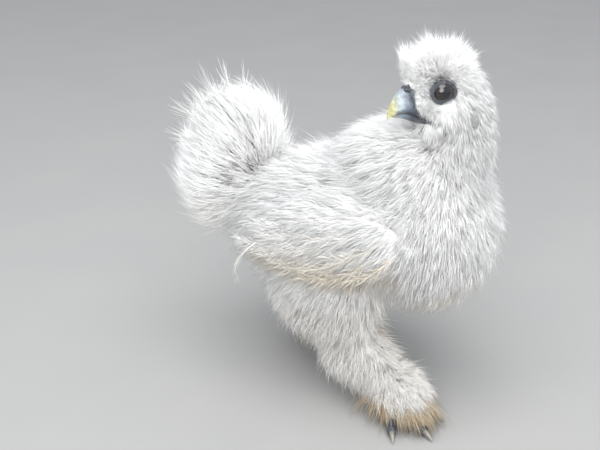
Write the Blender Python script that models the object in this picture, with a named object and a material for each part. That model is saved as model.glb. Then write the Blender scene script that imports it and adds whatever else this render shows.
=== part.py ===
"""A silkie hen, life size, standing with its head turned back over its right side.

The bird faces +X, its left is +Y and +Z is up. Sizes are in metres. The origin lies on the floor, below the
middle of the bird's box. The plumage is one smooth form, a blend of egg shapes that reaches out to the tips of
the coat. Each node takes its piece of that form between thin plane cuts.
"""

import math

import bmesh
import bpy
import numpy as np
from mathutils import Matrix, Vector

# Driving sizes
SEAM = 0.0003
ORIGIN = np.array((0.005, 0.0, 0.0))
BLEND = 0.005
COAT_BLEND = 0.012
CORE_SHARE = 0.5
FLOOR_CUT = 0.4

# Head, in its own frame: forward, left and up from the middle of the skull
HEAD_AT = np.array((0.0795, -0.0025, 0.2403))
HEAD_HEADING = math.radians(-134)
EYE_AHEAD = 0.005
EYE_UP = 0.004
EYE_RADIUS = 0.0066
EYE_SUNK = 0.0050
LID_RADIUS = 0.0060
LID_THICK = 0.0013

# Eggs of the outer form: middle, half sizes, yaw and pitch in degrees, depth of the coat
EGGS = {
    "trunk": ((0.010, 0.0, 0.132), (0.092, 0.070, 0.060), 0, 6, 0.016),
    "breast": ((0.077, 0.0, 0.138), (0.056, 0.062, 0.064), 0, 0, 0.014),
    "cape": ((0.060, 0.0, 0.175), (0.058, 0.052, 0.044), 0, -14, 0.015),
    "neck": ((0.098, 0.0, 0.205), (0.026, 0.026, 0.050), 0, 0, 0.010),
    "head": ((0.0795, -0.0025, 0.2403), (0.0265, 0.0165, 0.0205), 46, 0, 0.005),
    "nape": ((0.0892, 0.0076, 0.2380), (0.0220, 0.0205, 0.0210), 46, 0, 0.008),
    "cushion": ((-0.080, 0.0, 0.166), (0.042, 0.055, 0.063), 0, -12, 0.026),
    "thigh_right": ((0.015, -0.038, 0.088), (0.048, 0.030, 0.042), 0, 0, 0.015),
    "hock_right": ((0.036, -0.036, 0.047), (0.031, 0.024, 0.034), 0, 0, 0.016),
    "foot_right": ((0.075, -0.040, 0.021), (0.031, 0.024, 0.021), -30, 0, 0.012),
    "thigh_left": ((-0.008, 0.038, 0.086), (0.048, 0.030, 0.042), 0, 0, 0.015),
    "hock_left": ((-0.030, 0.038, 0.047), (0.031, 0.024, 0.034), 0, 0, 0.016),
    "foot_left": ((-0.006, 0.044, 0.021), (0.031, 0.024, 0.021), 12, 0, 0.012),
}

# Legs: hock and ankle joints, and the way that the foot points
LEGS = {
    "right": {"hock": (0.020, -0.037, 0.045), "ankle": (0.066, -0.039, 0.014), "heading": -30, "side": -1},
    "left": {"hock": (-0.050, 0.040, 0.045), "ankle": (-0.014, 0.044, 0.014), "heading": 12, "side": 1},
}


def turned(yaw, pitch):
    """Turn about Z by yaw after tipping the front up by pitch, both in degrees."""
    return np.array(
        (Matrix.Rotation(math.radians(yaw), 3, "Z") @ Matrix.Rotation(math.radians(-pitch), 3, "Y"))
    )


class Form:
    """A smooth blend of eggs, read as a signed distance, with the depth of coat at each place."""

    def __init__(self, eggs):
        picked = list(eggs.values())
        self.middles = np.array([egg[0] for egg in picked])
        self.sizes = np.array([egg[1] for egg in picked])
        self.turns = np.array([turned(egg[2], egg[3]) for egg in picked])
        self.coats = np.array([egg[4] for egg in picked])

    def each(self, points):
        local = np.einsum("nkj,kji->nki", points[:, None, :] - self.middles[None], self.turns)
        near = np.linalg.norm(local / self.sizes, axis=2)
        steep = np.linalg.norm(local / self.sizes**2, axis=2)
        return near * (near - 1.0) / np.maximum(steep, 1e-9)

    def height(self, points):
        """Distance above the outer form, negative inside it."""
        away = self.each(points)
        least = away.min(axis=1)
        return least - BLEND * np.log(np.exp((least[:, None] - away) / BLEND).sum(axis=1))

    def coat(self, points):
        away = self.each(points)
        weight = np.exp((away.min(axis=1)[:, None] - away) / COAT_BLEND)
        return (weight * self.coats).sum(axis=1) / weight.sum(axis=1)

    def core_height(self, points):
        """Distance above the core, whose surface lies a share of the coat's depth below the tips."""
        return self.height(points) + CORE_SHARE * self.coat(points)

    def core_normal(self, points, step=0.0005):
        """The way out of the core at each point."""
        slope = np.stack(
            [
                self.core_height(points + step * axis) - self.core_height(points - step * axis)
                for axis in np.eye(3)
            ],
            axis=1,
        )
        return slope / np.linalg.norm(slope, axis=1)[:, None]

    def onto_core(self, points):
        """The points moved onto the core's surface."""
        for _ in range(3):
            points = points - self.core_height(points)[:, None] * self.core_normal(points)
        return points


WHOLE = Form(EGGS)


def head_point(forward, left, up):
    """A place on the head, from the middle of the skull, in the bird's frame."""
    ahead = np.array((math.cos(HEAD_HEADING), math.sin(HEAD_HEADING), 0.0))
    beside = np.array((-ahead[1], ahead[0], 0.0))
    return HEAD_AT + forward * ahead + left * beside + np.array((0.0, 0.0, up))


def head_way(forward, left, up):
    """A direction on the head, of length one."""
    way = head_point(forward, left, up) - HEAD_AT
    return way / np.linalg.norm(way)


def on_form(start, way, reach=0.05):
    """Where a ray from inside the outer form comes out of it."""
    steps = np.linspace(0.0, reach, 400)
    outside = WHOLE.height(np.array(start) + steps[:, None] * np.array(way)) > 0
    return np.array(start) + steps[outside.argmax()] * np.array(way)


def mesh_object(name, points, faces):
    """A mesh of flat triangles, so that every later cut finds the faces that it expects."""
    mesh = bpy.data.meshes.new(name)
    mesh.from_pydata([tuple(point) for point in points], [], faces)
    shape = bmesh.new()
    shape.from_mesh(mesh)
    bmesh.ops.triangulate(shape, faces=shape.faces, quad_method="SHORT_EDGE")
    shape.to_mesh(mesh)
    shape.free()
    made = bpy.data.objects.new(name, mesh)
    bpy.context.scene.collection.objects.link(made)
    return made


def ball(name, middle, sizes, turn=None, around=16, up=10):
    """A closed egg with its long way set by turn."""
    shape = bmesh.new()
    bmesh.ops.create_uvsphere(shape, u_segments=around, v_segments=up, radius=1.0)
    points = np.array([vertex.co for vertex in shape.verts]) * np.array(sizes)
    if turn is not None:
        points = points @ np.array(turn).T
    faces = [[vertex.index for vertex in face.verts] for face in shape.faces]
    shape.free()
    return mesh_object(name, points + np.array(middle), faces)


def star_solid(name, middle, reach, around=24, up=14, height=WHOLE.core_height):
    """The form's surface as seen from one middle point, no further out than reach."""
    shape = bmesh.new()
    bmesh.ops.create_uvsphere(shape, u_segments=around, v_segments=up, radius=1.0)
    ways = np.array([vertex.co for vertex in shape.verts])
    faces = [[vertex.index for vertex in face.verts] for face in shape.faces]
    shape.free()
    middle = np.array(middle)
    steps = np.linspace(0.0, reach, 60)
    inside = np.array([height(middle + ways * step) < 0 for step in steps])
    first_out = np.where(inside.all(axis=0), len(steps) - 1, inside.argmin(axis=0))
    low = steps[np.maximum(first_out - 1, 0)]
    high = steps[first_out]
    for _ in range(18):
        mean = (low + high) / 2
        within = height(middle + ways * mean[:, None]) < 0
        low = np.where(within, mean, low)
        high = np.where(within, high, mean)
    return mesh_object(name, middle + ways * low[:, None], faces)


def half_space(point, outwards, size=FLOOR_CUT):
    """A big block that covers all of the space beyond a plane."""
    facing = Vector(outwards).normalized()
    shape = bmesh.new()
    bmesh.ops.create_cube(shape, size=size)
    bmesh.ops.translate(shape, verts=shape.verts, vec=(0, 0, size / 2))
    bmesh.ops.transform(
        shape,
        matrix=Matrix.Translation(Vector(point)) @ facing.to_track_quat("Z", "Y").to_matrix().to_4x4(),
        verts=shape.verts,
    )
    mesh = bpy.data.meshes.new("block")
    shape.to_mesh(mesh)
    shape.free()
    block = bpy.data.objects.new("block", mesh)
    bpy.context.scene.collection.objects.link(block)
    return block


def combine(base, others, operation):
    """Applies one Boolean of a whole collection to base, and removes the collection's objects."""
    if not others:
        return base
    group = bpy.data.collections.new("operands")
    bpy.context.scene.collection.children.link(group)
    for other in others:
        bpy.context.scene.collection.objects.unlink(other)
        group.objects.link(other)
    modifier = base.modifiers.new("join", "BOOLEAN")
    modifier.operation = operation
    modifier.operand_type = "COLLECTION"
    modifier.collection = group
    modifier.solver = "MANIFOLD"
    bpy.context.view_layer.update()
    graph = bpy.context.evaluated_depsgraph_get()
    made = bpy.data.meshes.new_from_object(base.evaluated_get(graph))
    base.modifiers.clear()
    base.data = made
    for other in others:
        bpy.data.objects.remove(other)
    bpy.data.collections.remove(group)
    return base


def keep_largest(solid):
    """Drops loose scraps and sealed hollows, so that one closed surface stays."""
    shape = bmesh.new()
    shape.from_mesh(solid.data)
    left = set(shape.verts)
    shells = []
    while left:
        shell = {left.pop()}
        edge_of_shell = list(shell)
        while edge_of_shell:
            vertex = edge_of_shell.pop()
            for edge in vertex.link_edges:
                other = edge.other_vert(vertex)
                if other in left:
                    left.discard(other)
                    shell.add(other)
                    edge_of_shell.append(other)
        shells.append(shell)
    shells.sort(key=len)
    loose = [vertex for shell in shells[:-1] for vertex in shell]
    bmesh.ops.delete(shape, geom=loose, context="VERTS")
    shape.to_mesh(solid.data)
    shape.free()
    return solid


def copy_of(solid):
    made = bpy.data.objects.new(solid.name, solid.data.copy())
    bpy.context.scene.collection.objects.link(made)
    return made


def grown(solid, by=SEAM):
    """A copy with every face moved out, to cut the room that a neighbour leaves round the piece."""
    shape = bmesh.new()
    shape.from_mesh(solid.data)
    shape.normal_update()
    moved = [vertex.co + vertex.normal * by for vertex in shape.verts]
    for vertex, place in zip(shape.verts, moved):
        vertex.co = place
    mesh = bpy.data.meshes.new("room")
    shape.to_mesh(mesh)
    shape.free()
    made = bpy.data.objects.new("room", mesh)
    bpy.context.scene.collection.objects.link(made)
    return made


def cut_between(point, outwards):
    """The block that trims a node half a seam short of a shared plane."""
    facing = np.array(outwards) / np.linalg.norm(outwards)
    return half_space(np.array(point) - facing * SEAM / 2, facing)


# Shared planes between nodes: a point, and the way from the first node to the second
PLANES = {
    "torso_tail": ((-0.047, 0.0, 0.150), (-0.90, 0.0, 0.43)),
    "torso_neck": ((0.090, 0.0, 0.188), (0.60, 0.0, 0.80)),
    "neck_head": ((0.092, -0.001, 0.222), (-0.41, -0.05, 0.91)),
    "head_crest": (tuple(head_point(0, 0, 0.0115)), (0.11, 0.10, 0.99)),
    "torso_thigh_right": ((0.0, 0.0, 0.060), (0.0, -0.54, -0.84)),
    "torso_thigh_left": ((0.0, 0.0, 0.060), (0.0, 0.54, -0.84)),
    "between_legs": ((0.0, 0.0, 0.0), (0.0, -1.0, 0.0)),
}

for leg_name, leg_joints in LEGS.items():
    hock_joint, ankle_joint = np.array(leg_joints["hock"]), np.array(leg_joints["ankle"])
    shin = (ankle_joint - hock_joint) / np.linalg.norm(ankle_joint - hock_joint)
    PLANES["hock_" + leg_name] = (hock_joint + shin * 0.020, shin)
    PLANES["ankle_" + leg_name] = (
        ankle_joint + np.array((-0.006, 0.0, 0.006)),
        np.array((0.30 * shin[0], 0.30 * shin[1], -0.95)),
    )


def trims(name):
    """The blocks that cut a node to its bounds."""
    blocks = []
    for plane, second in BOUNDS[name]:
        point, way = PLANES[plane]
        facing = np.array(way)
        blocks.append(cut_between(point, -facing if second else facing))
    return blocks


# A lock of the coat: places of its rings along it, their widths and thicknesses, its thickness as a share of its
# width, how its faces stand about their level, and how deep its root is sunk
LOCK_SHARES = (0.0, 0.36, 0.74)
LOCK_WIDTHS = (0.70, 1.05, 0.80)
LOCK_BODIES = (1.0, 1.0, 0.7)
LOCK_THICK = 0.16
LOCK_FACES = (0.60, -0.35, -0.50)
LOCK_SINK = 0.0030
LEAST_THICK = 0.0006

# How locks vary and lie: spread of lengths and widths, swerve to a side, pull back to the lie of the coat along
# the lock, and the least lean away from the source that still gives a lie
LOCK_VARIES = 0.15
LOCK_SWERVE = 0.30
LIE_PULL = 0.35
LEAST_LIE = 0.42


def flat_on(ways, normals):
    """The ways with their part along the normals taken off, each of length one."""
    ways = ways - (ways * normals).sum(axis=1)[:, None] * normals
    return ways / np.linalg.norm(ways, axis=1)[:, None]


def lie_at(places, normals, source):
    return flat_on(places - np.array(source), normals)


def has_lie(places, source):
    """False where the coat points straight out from its source, so that it has no lie."""
    ways = places - np.array(source)
    ways /= np.linalg.norm(ways, axis=1)[:, None]
    return (ways * WHOLE.core_normal(places)).sum(axis=1) < math.sqrt(1 - LEAST_LIE**2)


def locks_on(roots, source, length, width, seed):
    """Flat locks over the core, each lying away from the source and lifting to its tip.

    The sides of a lock follow the core, so that a wide lock wraps round the body.
    """
    draw = np.random.default_rng(seed)
    count = len(roots)
    lengths = length * draw.uniform(1 - LOCK_VARIES, 1 + LOCK_VARIES, count)
    widths = width * draw.uniform(1 - LOCK_VARIES, 1 + LOCK_VARIES, count)
    swerve = draw.uniform(-LOCK_SWERVE, LOCK_SWERVE, count)
    place = WHOLE.onto_core(np.array(roots))
    normal = WHOLE.core_normal(place)
    lie = lie_at(place, normal, source)
    way = flat_on(lie + np.cross(normal, lie) * swerve[:, None], normal)
    spine, normals, across = [], [], []
    last = 0.0
    for share in (*LOCK_SHARES, 1.0):
        place = WHOLE.onto_core(place + way * (lengths * (share - last))[:, None])
        last = share
        normal = WHOLE.core_normal(place)
        way = flat_on(way + LIE_PULL * lie_at(place, normal, source), normal)
        spine.append(place)
        normals.append(normal)
        across.append(np.cross(normal, way))
    sides = [
        [WHOLE.onto_core(spine[i] + sign * across[i] * (widths * LOCK_WIDTHS[i] / 2)[:, None]) for sign in (1, -1)]
        for i in range(len(LOCK_SHARES))
    ]
    over, edge, under = LOCK_FACES
    made = []
    for k in range(count):
        depth = WHOLE.coat(spine[0][k : k + 1])[0] * CORE_SHARE
        thick = LOCK_THICK * widths[k]
        rings = []
        for i, share in enumerate(LOCK_SHARES):
            up = normals[i][k]
            level = -LOCK_SINK + (depth - thick * 0.3 + LOCK_SINK) * share**0.8
            body = max(thick * LOCK_BODIES[i], LEAST_THICK)
            rings.append(
                [
                    sides[i][0][k] + up * (level + edge * body),
                    spine[i][k] + up * (level + over * body),
                    sides[i][1][k] + up * (level + edge * body),
                    spine[i][k] + up * (level + under * body),
                ]
            )
        made.append(ringed("lock", rings, spine[-1][k] + normals[-1][k] * depth))
    return made


# Coat of each node: places round a middle, gap between roots, and the source, length and width of its locks
COATS = {
    "torso": ((0.030, 0.0, 0.140), 0.13, 0.0330, (0.100, 0.0, 0.215), 0.048, 0.029),
    "neck": ((0.096, 0.0, 0.205), 0.08, 0.0195, (0.085, 0.0, 0.262), 0.034, 0.019),
    "tail": ((-0.078, 0.0, 0.160), 0.10, 0.0280, (-0.030, 0.0, 0.130), 0.048, 0.030),
    "thigh_right": ((0.015, -0.040, 0.085), 0.07, 0.021, (0.000, -0.030, 0.190), 0.034, 0.019),
    "thigh_left": ((-0.008, 0.040, 0.085), 0.07, 0.021, (-0.023, 0.030, 0.190), 0.034, 0.019),
    "shank_right": ((0.040, -0.036, 0.040), 0.05, 0.0165, (0.010, -0.036, 0.110), 0.026, 0.0155),
    "shank_left": ((-0.026, 0.040, 0.040), 0.05, 0.0165, (-0.056, 0.038, 0.110), 0.026, 0.0155),
    "foot_right": ((0.072, -0.040, 0.018), 0.05, 0.0180, (0.050, -0.034, 0.055), 0.024, 0.0145),
    "foot_left": ((-0.008, 0.044, 0.018), 0.05, 0.0180, (-0.033, 0.041, 0.055), 0.024, 0.0145),
}

# Planes that bound each node: the plane, and whether the node is the plane's second one
BOUNDS = {
    "torso": (
        ("torso_tail", False),
        ("torso_neck", False),
        ("torso_thigh_right", False),
        ("torso_thigh_left", False),
    ),
    "neck": (("torso_neck", True), ("neck_head", False)),
    "head": (("torso_neck", True), ("neck_head", True), ("head_crest", False)),
    "crest": (("head_crest", True),),
    "tail": (("torso_tail", True),),
    "thigh_right": (("torso_thigh_right", True), ("hock_right", False), ("between_legs", True)),
    "thigh_left": (("torso_thigh_left", True), ("hock_left", False), ("between_legs", False)),
    "shank_right": (("hock_right", True), ("ankle_right", False), ("between_legs", True)),
    "shank_left": (("hock_left", True), ("ankle_left", False), ("between_legs", False)),
    "foot_right": (("ankle_right", True),),
    "foot_left": (("ankle_left", True),),
}


def inside_node(name, margin=0.001):
    """A test for places that lie well within a node's bounds."""

    def test(points):
        held = points[:, 2] > 0.004
        for plane, second in BOUNDS[name]:
            point, way = PLANES[plane]
            facing = np.array(way) / np.linalg.norm(way)
            away = (points - np.array(point)) @ facing
            held &= (away if second else -away) > margin
        return held

    return test


def spread(points, gap):
    """A choice of the points that keeps them at least a gap apart."""
    kept = []
    for point in points:
        if all(np.linalg.norm(point - other) > gap for other in kept):
            kept.append(point)
    return np.array(kept)


def roots_round(middle, reach, gap, inside, seed, tries=1500):
    """Evenly spread places on the core as seen from one middle point, where the inside test holds."""
    draw = np.random.default_rng(seed)
    ways = draw.normal(size=(tries, 3))
    ways /= np.linalg.norm(ways, axis=1)[:, None]
    middle = np.array(middle)
    steps = np.linspace(0.0, reach, 80)
    outside = np.array([WHOLE.core_height(middle + ways * step) > 0 for step in steps])
    places = middle + ways * steps[outside.argmax(axis=0)][:, None]
    places = WHOLE.onto_core(places[outside.any(axis=0)])
    return spread(places[inside(places)], gap)


# The node whose locks fall over the seam onto each node
ABOVE = {
    "torso": "neck",
    "thigh_right": "torso",
    "thigh_left": "torso",
    "shank_right": "thigh_right",
    "shank_left": "thigh_left",
}


def coat_of(name, seed):
    """The locks of one node."""
    middle, reach, gap, source, length, width = COATS[name]
    roots = roots_round(middle, reach, gap, inside_node(name), seed)
    roots = roots[has_lie(roots, source)]
    return locks_on(roots, source, length, width, seed + 100)


def tip_of(lock):
    return np.array(lock.data.vertices[-1].co)


def all_coats():
    """Each node's own locks, with copies of those that fall onto it from the node above."""
    own = {name: coat_of(name, seed) for seed, name in enumerate(COATS)}
    fallen = {}
    for name in own:
        inside = inside_node(name, -0.002)
        above = own.get(ABOVE.get(name), [])
        fallen[name] = [copy_of(lock) for lock in above if inside(tip_of(lock)[None])[0]]
    return {name: own[name] + fallen[name] for name in own}


def material(name, colour, roughness):
    made = bpy.data.materials.new(name)
    made.use_nodes = True
    shader = made.node_tree.nodes["Principled BSDF"]
    shader.inputs["Base Color"].default_value = (*colour, 1.0)
    shader.inputs["Roughness"].default_value = roughness
    made.diffuse_color = (*colour, 1.0)
    return made


def finish_node(solid, name, skin):
    """Names the node, gives it its material and moves it into the row's frame."""
    solid.name = name
    solid.data.name = name
    solid.data.materials.clear()
    solid.data.materials.append(skin)
    solid.data.transform(Matrix.Translation(Vector(-ORIGIN)))
    solid.data.shade_smooth()
    return solid


# Crest: half sizes and height of its dense middle
CREST_CORE = (0.0195, 0.0195, 0.0145)
CREST_CORE_UP = 0.0170


def crest_height(points):
    sizes = np.array(CREST_CORE)
    local = (points - head_point(-0.001, 0.0, CREST_CORE_UP)) / sizes
    near = np.linalg.norm(local, axis=1)
    steep = np.linalg.norm(local / sizes, axis=1)
    return near * (near - 1.0) / np.maximum(steep, 1e-9)


def ringed(name, rings, tip=None):
    """A closed solid through rings of like count, with flat ends or a tip."""
    count = len(rings[0])
    points = [point for ring in rings for point in ring]
    faces = [list(range(count))[::-1]]
    for row in range(len(rings) - 1):
        for k in range(count):
            a = row * count + k
            b = row * count + (k + 1) % count
            faces.append([a, b, b + count, a + count])
    last = (len(rings) - 1) * count
    if tip is None:
        faces.append([last + k for k in range(count)])
    else:
        points.append(tip)
        faces += [[last + k, last + (k + 1) % count, len(points) - 1] for k in range(count)]
    return mesh_object(name, points, faces)


# Bill: distance ahead of the skull's middle, half width, mouth line and top or bottom of each half
UPPER_BILL = (
    (0.0100, 0.0115, -0.0175, -0.0040),
    (0.0180, 0.0100, -0.0140, 0.0040),
    (0.0240, 0.0086, -0.0112, 0.0046),
    (0.0290, 0.0068, -0.0110, 0.0022),
    (0.0330, 0.0048, -0.0122, -0.0030),
    (0.0355, 0.0028, -0.0138, -0.0085),
)
UPPER_TIP = (0.0368, 0.0, -0.0160)
LOWER_BILL = (
    (0.0100, 0.0108, -0.0180, -0.0235),
    (0.0180, 0.0090, -0.0146, -0.0215),
    (0.0240, 0.0074, -0.0118, -0.0190),
    (0.0290, 0.0055, -0.0116, -0.0172),
    (0.0325, 0.0032, -0.0126, -0.0162),
)
LOWER_TIP = (0.0345, 0.0, -0.0142)
BILL_SIDES = 12


def bill_half(name, stations, tip):
    """Half of the bill: a round back or belly over a nearly flat mouth face."""
    rings = []
    for ahead, half_width, mouth, crown in stations:
        ring = []
        for k in range(BILL_SIDES):
            angle = 2 * math.pi * k / BILL_SIDES
            rise = math.sin(angle)
            height = (crown - mouth) * max(rise, 0.0) - 0.0006 * max(-rise, 0.0) * math.copysign(1, crown - mouth)
            ring.append(head_point(ahead, half_width * math.cos(angle), mouth + height))
        rings.append(ring if crown > mouth else ring[::-1])
    return ringed(name, rings, head_point(*tip))


def ring_about(name, middle, facing, radius, thick, around=12, sides=4):
    """A round ring, such as an eyelid's rim, about a middle and facing a way."""
    turn = np.array(Vector(facing).to_track_quat("Z", "Y").to_matrix())
    points, faces = [], []
    for i in range(around):
        turn_angle = 2 * math.pi * i / around
        for j in range(sides):
            side_angle = 2 * math.pi * j / sides
            out = radius + thick * math.cos(side_angle)
            local = (out * math.cos(turn_angle), out * math.sin(turn_angle), thick * math.sin(side_angle))
            points.append(turn @ np.array(local) + middle)
            a = i * sides + j
            b = i * sides + (j + 1) % sides
            c = ((i + 1) % around) * sides
            faces.append([a, c + j, c + (j + 1) % sides, b])
    return mesh_object(name, points, faces)


def tube(name, path, radii, sides=6, tip=False):
    """A round limb along a path of points, closed at both ends."""
    rings = []
    path = [np.array(point) for point in path]
    for i, point in enumerate(path):
        ahead = path[min(i + 1, len(path) - 1)] - path[max(i - 1, 0)]
        turn = np.array(Vector(ahead).to_track_quat("Z", "Y").to_matrix())
        rings.append(
            [
                point + turn @ np.array((radii[i] * math.cos(a), radii[i] * math.sin(a), 0.0))
                for a in (2 * math.pi * k / sides for k in range(sides))
            ]
        )
    if not tip:
        return ringed(name, rings)
    return ringed(name, rings[:-1], path[-1])


# Toes and claws: heading from the foot's own, length, thickness, and rise of the tip; the first and the fifth point back
TOES = {
    1: (180, 0.027, 0.0042, 0.0),
    2: (32, 0.036, 0.0043, 0.0),
    3: (0, 0.043, 0.0046, 0.0),
    4: (-34, 0.036, 0.0043, 0.0),
    5: (146, 0.024, 0.0036, 0.003),
}
CLAW_LENGTH = 0.010
CLAW_SUNK = 0.0015
CLAW_CLEAR = 0.0002
CLAW_DROOP = 0.0038
FOOT_PAD = (0.011, 0.010, 0.0105)


def floor_block():
    """All the space under the floor, which trims what stands on it flat."""
    return half_space((0, 0, 0), (0, 0, -1))


def toe_path(leg, toe):
    """Points along a toe from inside the foot, and the way on from its end."""
    heading, length, thick, rise = TOES[toe]
    angle = math.radians(leg["heading"] - leg["side"] * heading)
    ahead = np.array((math.cos(angle), math.sin(angle), 0.0))
    ankle = np.array(leg["ankle"])
    base = np.array((ankle[0], ankle[1], thick - 0.0008))
    path = [base + ahead * length * share + np.array((0, 0, rise * share**2)) for share in (0.0, 0.4, 0.75, 1.0)]
    path[0] = path[0] + np.array((0, 0, 0.003))
    return path, ahead


def toe_solid(leg, toe):
    path, _ = toe_path(leg, toe)
    thick = TOES[toe][2]
    return tube("toe", path, [thick * 1.15, thick, thick * 0.92, thick * 0.72])


def claw_solid(leg, toe):
    """A curved claw, its root sunk in the end of the toe."""
    path, ahead = toe_path(leg, toe)
    thick = TOES[toe][2]
    root = path[-1] - ahead * CLAW_SUNK
    droop = min(path[-1][2] - CLAW_CLEAR, CLAW_DROOP)
    bend = [root + ahead * CLAW_LENGTH * share - np.array((0, 0, droop * share**2)) for share in (0, 0.35, 0.7, 1.0)]
    return tube("claw", bend, [thick * 0.55, thick * 0.42, thick * 0.22, 0.0], sides=5, tip=True)


def build_legs(coats, plumage, skin, horn):
    for name, leg in LEGS.items():
        hock, ankle = np.array(leg["hock"]), np.array(leg["ankle"])
        shin = (ankle - hock) / np.linalg.norm(ankle - hock)

        thigh = star_solid("thigh", hock + np.array((0.004, 0, 0.030)), 0.065, 14, 9)
        combine(thigh, coats["thigh_" + name], "UNION")
        combine(thigh, trims("thigh_" + name), "DIFFERENCE")
        finish_node(keep_largest(thigh), "thigh_" + name, plumage)

        shank = star_solid("shank", hock + shin * 0.032, 0.05, 12, 8)
        combine(shank, coats["shank_" + name], "UNION")
        combine(shank, trims("shank_" + name) + [floor_block()], "DIFFERENCE")
        finish_node(keep_largest(shank), "shank_" + name, plumage)

        foot = star_solid("foot", ankle + np.array((-0.002, 0, 0.004)), 0.06, 10, 7)
        pad = ball("pad", (ankle[0], ankle[1], FOOT_PAD[2] - 0.0005), FOOT_PAD, None, 8, 5)
        toes = [toe_solid(leg, toe) for toe in TOES]
        claws = {toe: claw_solid(leg, toe) for toe in TOES}
        combine(foot, [pad] + toes + coats["foot_" + name], "UNION")
        for claw in claws.values():
            combine(claw, [floor_block()], "DIFFERENCE")
        rooms = [grown(claw) for claw in claws.values()]
        combine(foot, rooms + trims("foot_" + name) + [floor_block()], "DIFFERENCE")
        finish_node(keep_largest(foot), "foot_" + name, skin)
        for toe, claw in claws.items():
            finish_node(keep_largest(claw), f"claw_{name}_{toe}", horn)


def ribbon(name, path, ups, widths, thicks):
    """A flat feather along a path: four points a ring, and a pointed end."""
    rings = []
    for i in range(len(path) - 1):
        ahead = path[min(i + 1, len(path) - 1)] - path[max(i - 1, 0)]
        side = np.cross(ups[i], ahead)
        side /= np.linalg.norm(side)
        up = ups[i] / np.linalg.norm(ups[i])
        rings.append(
            [
                path[i] + side * widths[i] / 2,
                path[i] + up * thicks[i] * 0.55,
                path[i] - side * widths[i] / 2,
                path[i] - up * thicks[i] * 0.45,
            ]
        )
    return ringed(name, rings, path[-1])


# Wing: middle, half sizes, pitch and roll of the right one, which the left one mirrors; its body's share of
# those sizes; the brim of its hollow in the torso; the least height of its dome; and its vanes
WING = ((0.026, -0.0535, 0.141), (0.062, 0.014, 0.027), 5, 11)
WING_CORE = (0.92, 0.80, 0.88)
WING_BRIM = (1.09, 2.20, 1.16)
WING_BRIM_OUT = 0.0370
WING_LIFT = 0.0040
VANE_SHARES = (0.0, 0.25, 0.55, 0.82, 1.0)
VANE_WIDTHS = (0.60, 1.0, 1.0, 0.70)
VANE_THICK = 0.0016

# Tiers of wing feathers: count, then the line of roots and the line of tips, each from its first to its last
# feather, as shares of the wing's half length and half height, then the width and the lift of the tips
WING_TIERS = (
    (6, (0.20, -0.45), (-0.62, 0.10), (-0.30, -0.90), (-0.97, -0.15), 0.0140, 0.0010),
    (5, (0.55, -0.30), (-0.15, 0.45), (-0.02, -0.88), (-0.78, 0.36), 0.0150, 0.0028),
    (4, (0.86, -0.10), (0.36, 0.62), (0.38, -0.80), (-0.35, 0.72), 0.0160, 0.0044),
)


def wing_turn(side):
    """The set of a wing against the body: its front tipped up and its upper edge leaning in."""
    _, _, pitch, roll = WING
    return turned(0, pitch) @ np.array(Matrix.Rotation(math.radians(side * roll), 3, "X"))


def wing_middle(side):
    return np.array((WING[0][0], -side * WING[0][1], WING[0][2]))


def wing_place(side, along, high, out):
    """A place on the wing by shares of its half length and half height, and metres out of its low dome."""
    sizes = WING[1]
    dome = math.sqrt(max(1.0 - along**2 - high**2, 0.0))
    rise = WING_LIFT + dome * (sizes[1] * WING_CORE[1] - WING_LIFT)
    local = np.array((along * sizes[0], side * (rise + out), high * sizes[2]))
    return wing_turn(side) @ local + wing_middle(side)


def wing_feathers(side):
    """Tiers of vanes, each over the roots of the tier behind it."""
    made = []
    for count, first_root, last_root, first_tip, last_tip, width, lift in WING_TIERS:
        for k in range(count):
            share = k / (count - 1)
            root = np.array(first_root) * (1 - share) + np.array(last_root) * share
            tip = np.array(first_tip) * (1 - share) + np.array(last_tip) * share
            path = []
            for run in VANE_SHARES:
                along, high = root * (1 - run) + tip * run
                high -= 0.10 * math.sin(math.pi * run)
                path.append(wing_place(side, along, high, -0.0022 + (lift + 0.0022) * run**0.7 + 0.0006 * share))
            tilt = wing_turn(side) @ np.array((0.0, side, -0.16))
            widths = [width * part for part in VANE_WIDTHS]
            made.append(ribbon("vane", path, [tilt] * len(path), widths, [VANE_THICK] * len(path)))
    return made


def build_wings(plumage):
    """Each wing lies in a hollow of the torso. It returns the rooms to cut from the torso."""
    rooms = []
    sizes = np.array(WING[1])
    for name, side in (("right", -1), ("left", 1)):
        turn = wing_turn(side)
        middle = wing_middle(side)
        wing = ball("wing", middle, sizes * WING_CORE, turn, 14, 8)
        brim_middle = middle + turn @ np.array((0.0, side * WING_BRIM_OUT, 0.0))
        rooms.append(ball("room", middle, sizes, turn, 14, 10))
        rooms.append(ball("brim", brim_middle, sizes * WING_BRIM, turn, 14, 10))
        combine(wing, wing_feathers(side), "UNION")
        finish_node(keep_largest(wing), "wing_" + name, plumage)
    return rooms


# Small fleshy pieces of the head, by their half sizes
COMB_BEAD = (0.0036, 0.0032, 0.0034)
WATTLE_SIZE = (0.0042, 0.0018, 0.0062)
LOBE_SIZE = (0.0032, 0.0018, 0.0046)
HEAD_TURN = turned(math.degrees(HEAD_HEADING), 0)

# Plumes of the crest: how many, the round puff that their tips reach, and their width and thickness
CREST_COUNT = 23
CREST_PUFF = (0.0270, 0.0245)
CREST_PUFF_UP = 0.0175
CREST_ROOT_UP = 0.0080
CREST_ARCH = 0.0120
CREST_WIDTH = 0.0165
CREST_WIDTHS = (0.70, 1.0, 1.0, 0.80)
CREST_THICK = 0.0034
GOLDEN_ANGLE = math.pi * (3.0 - math.sqrt(5.0))


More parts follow.
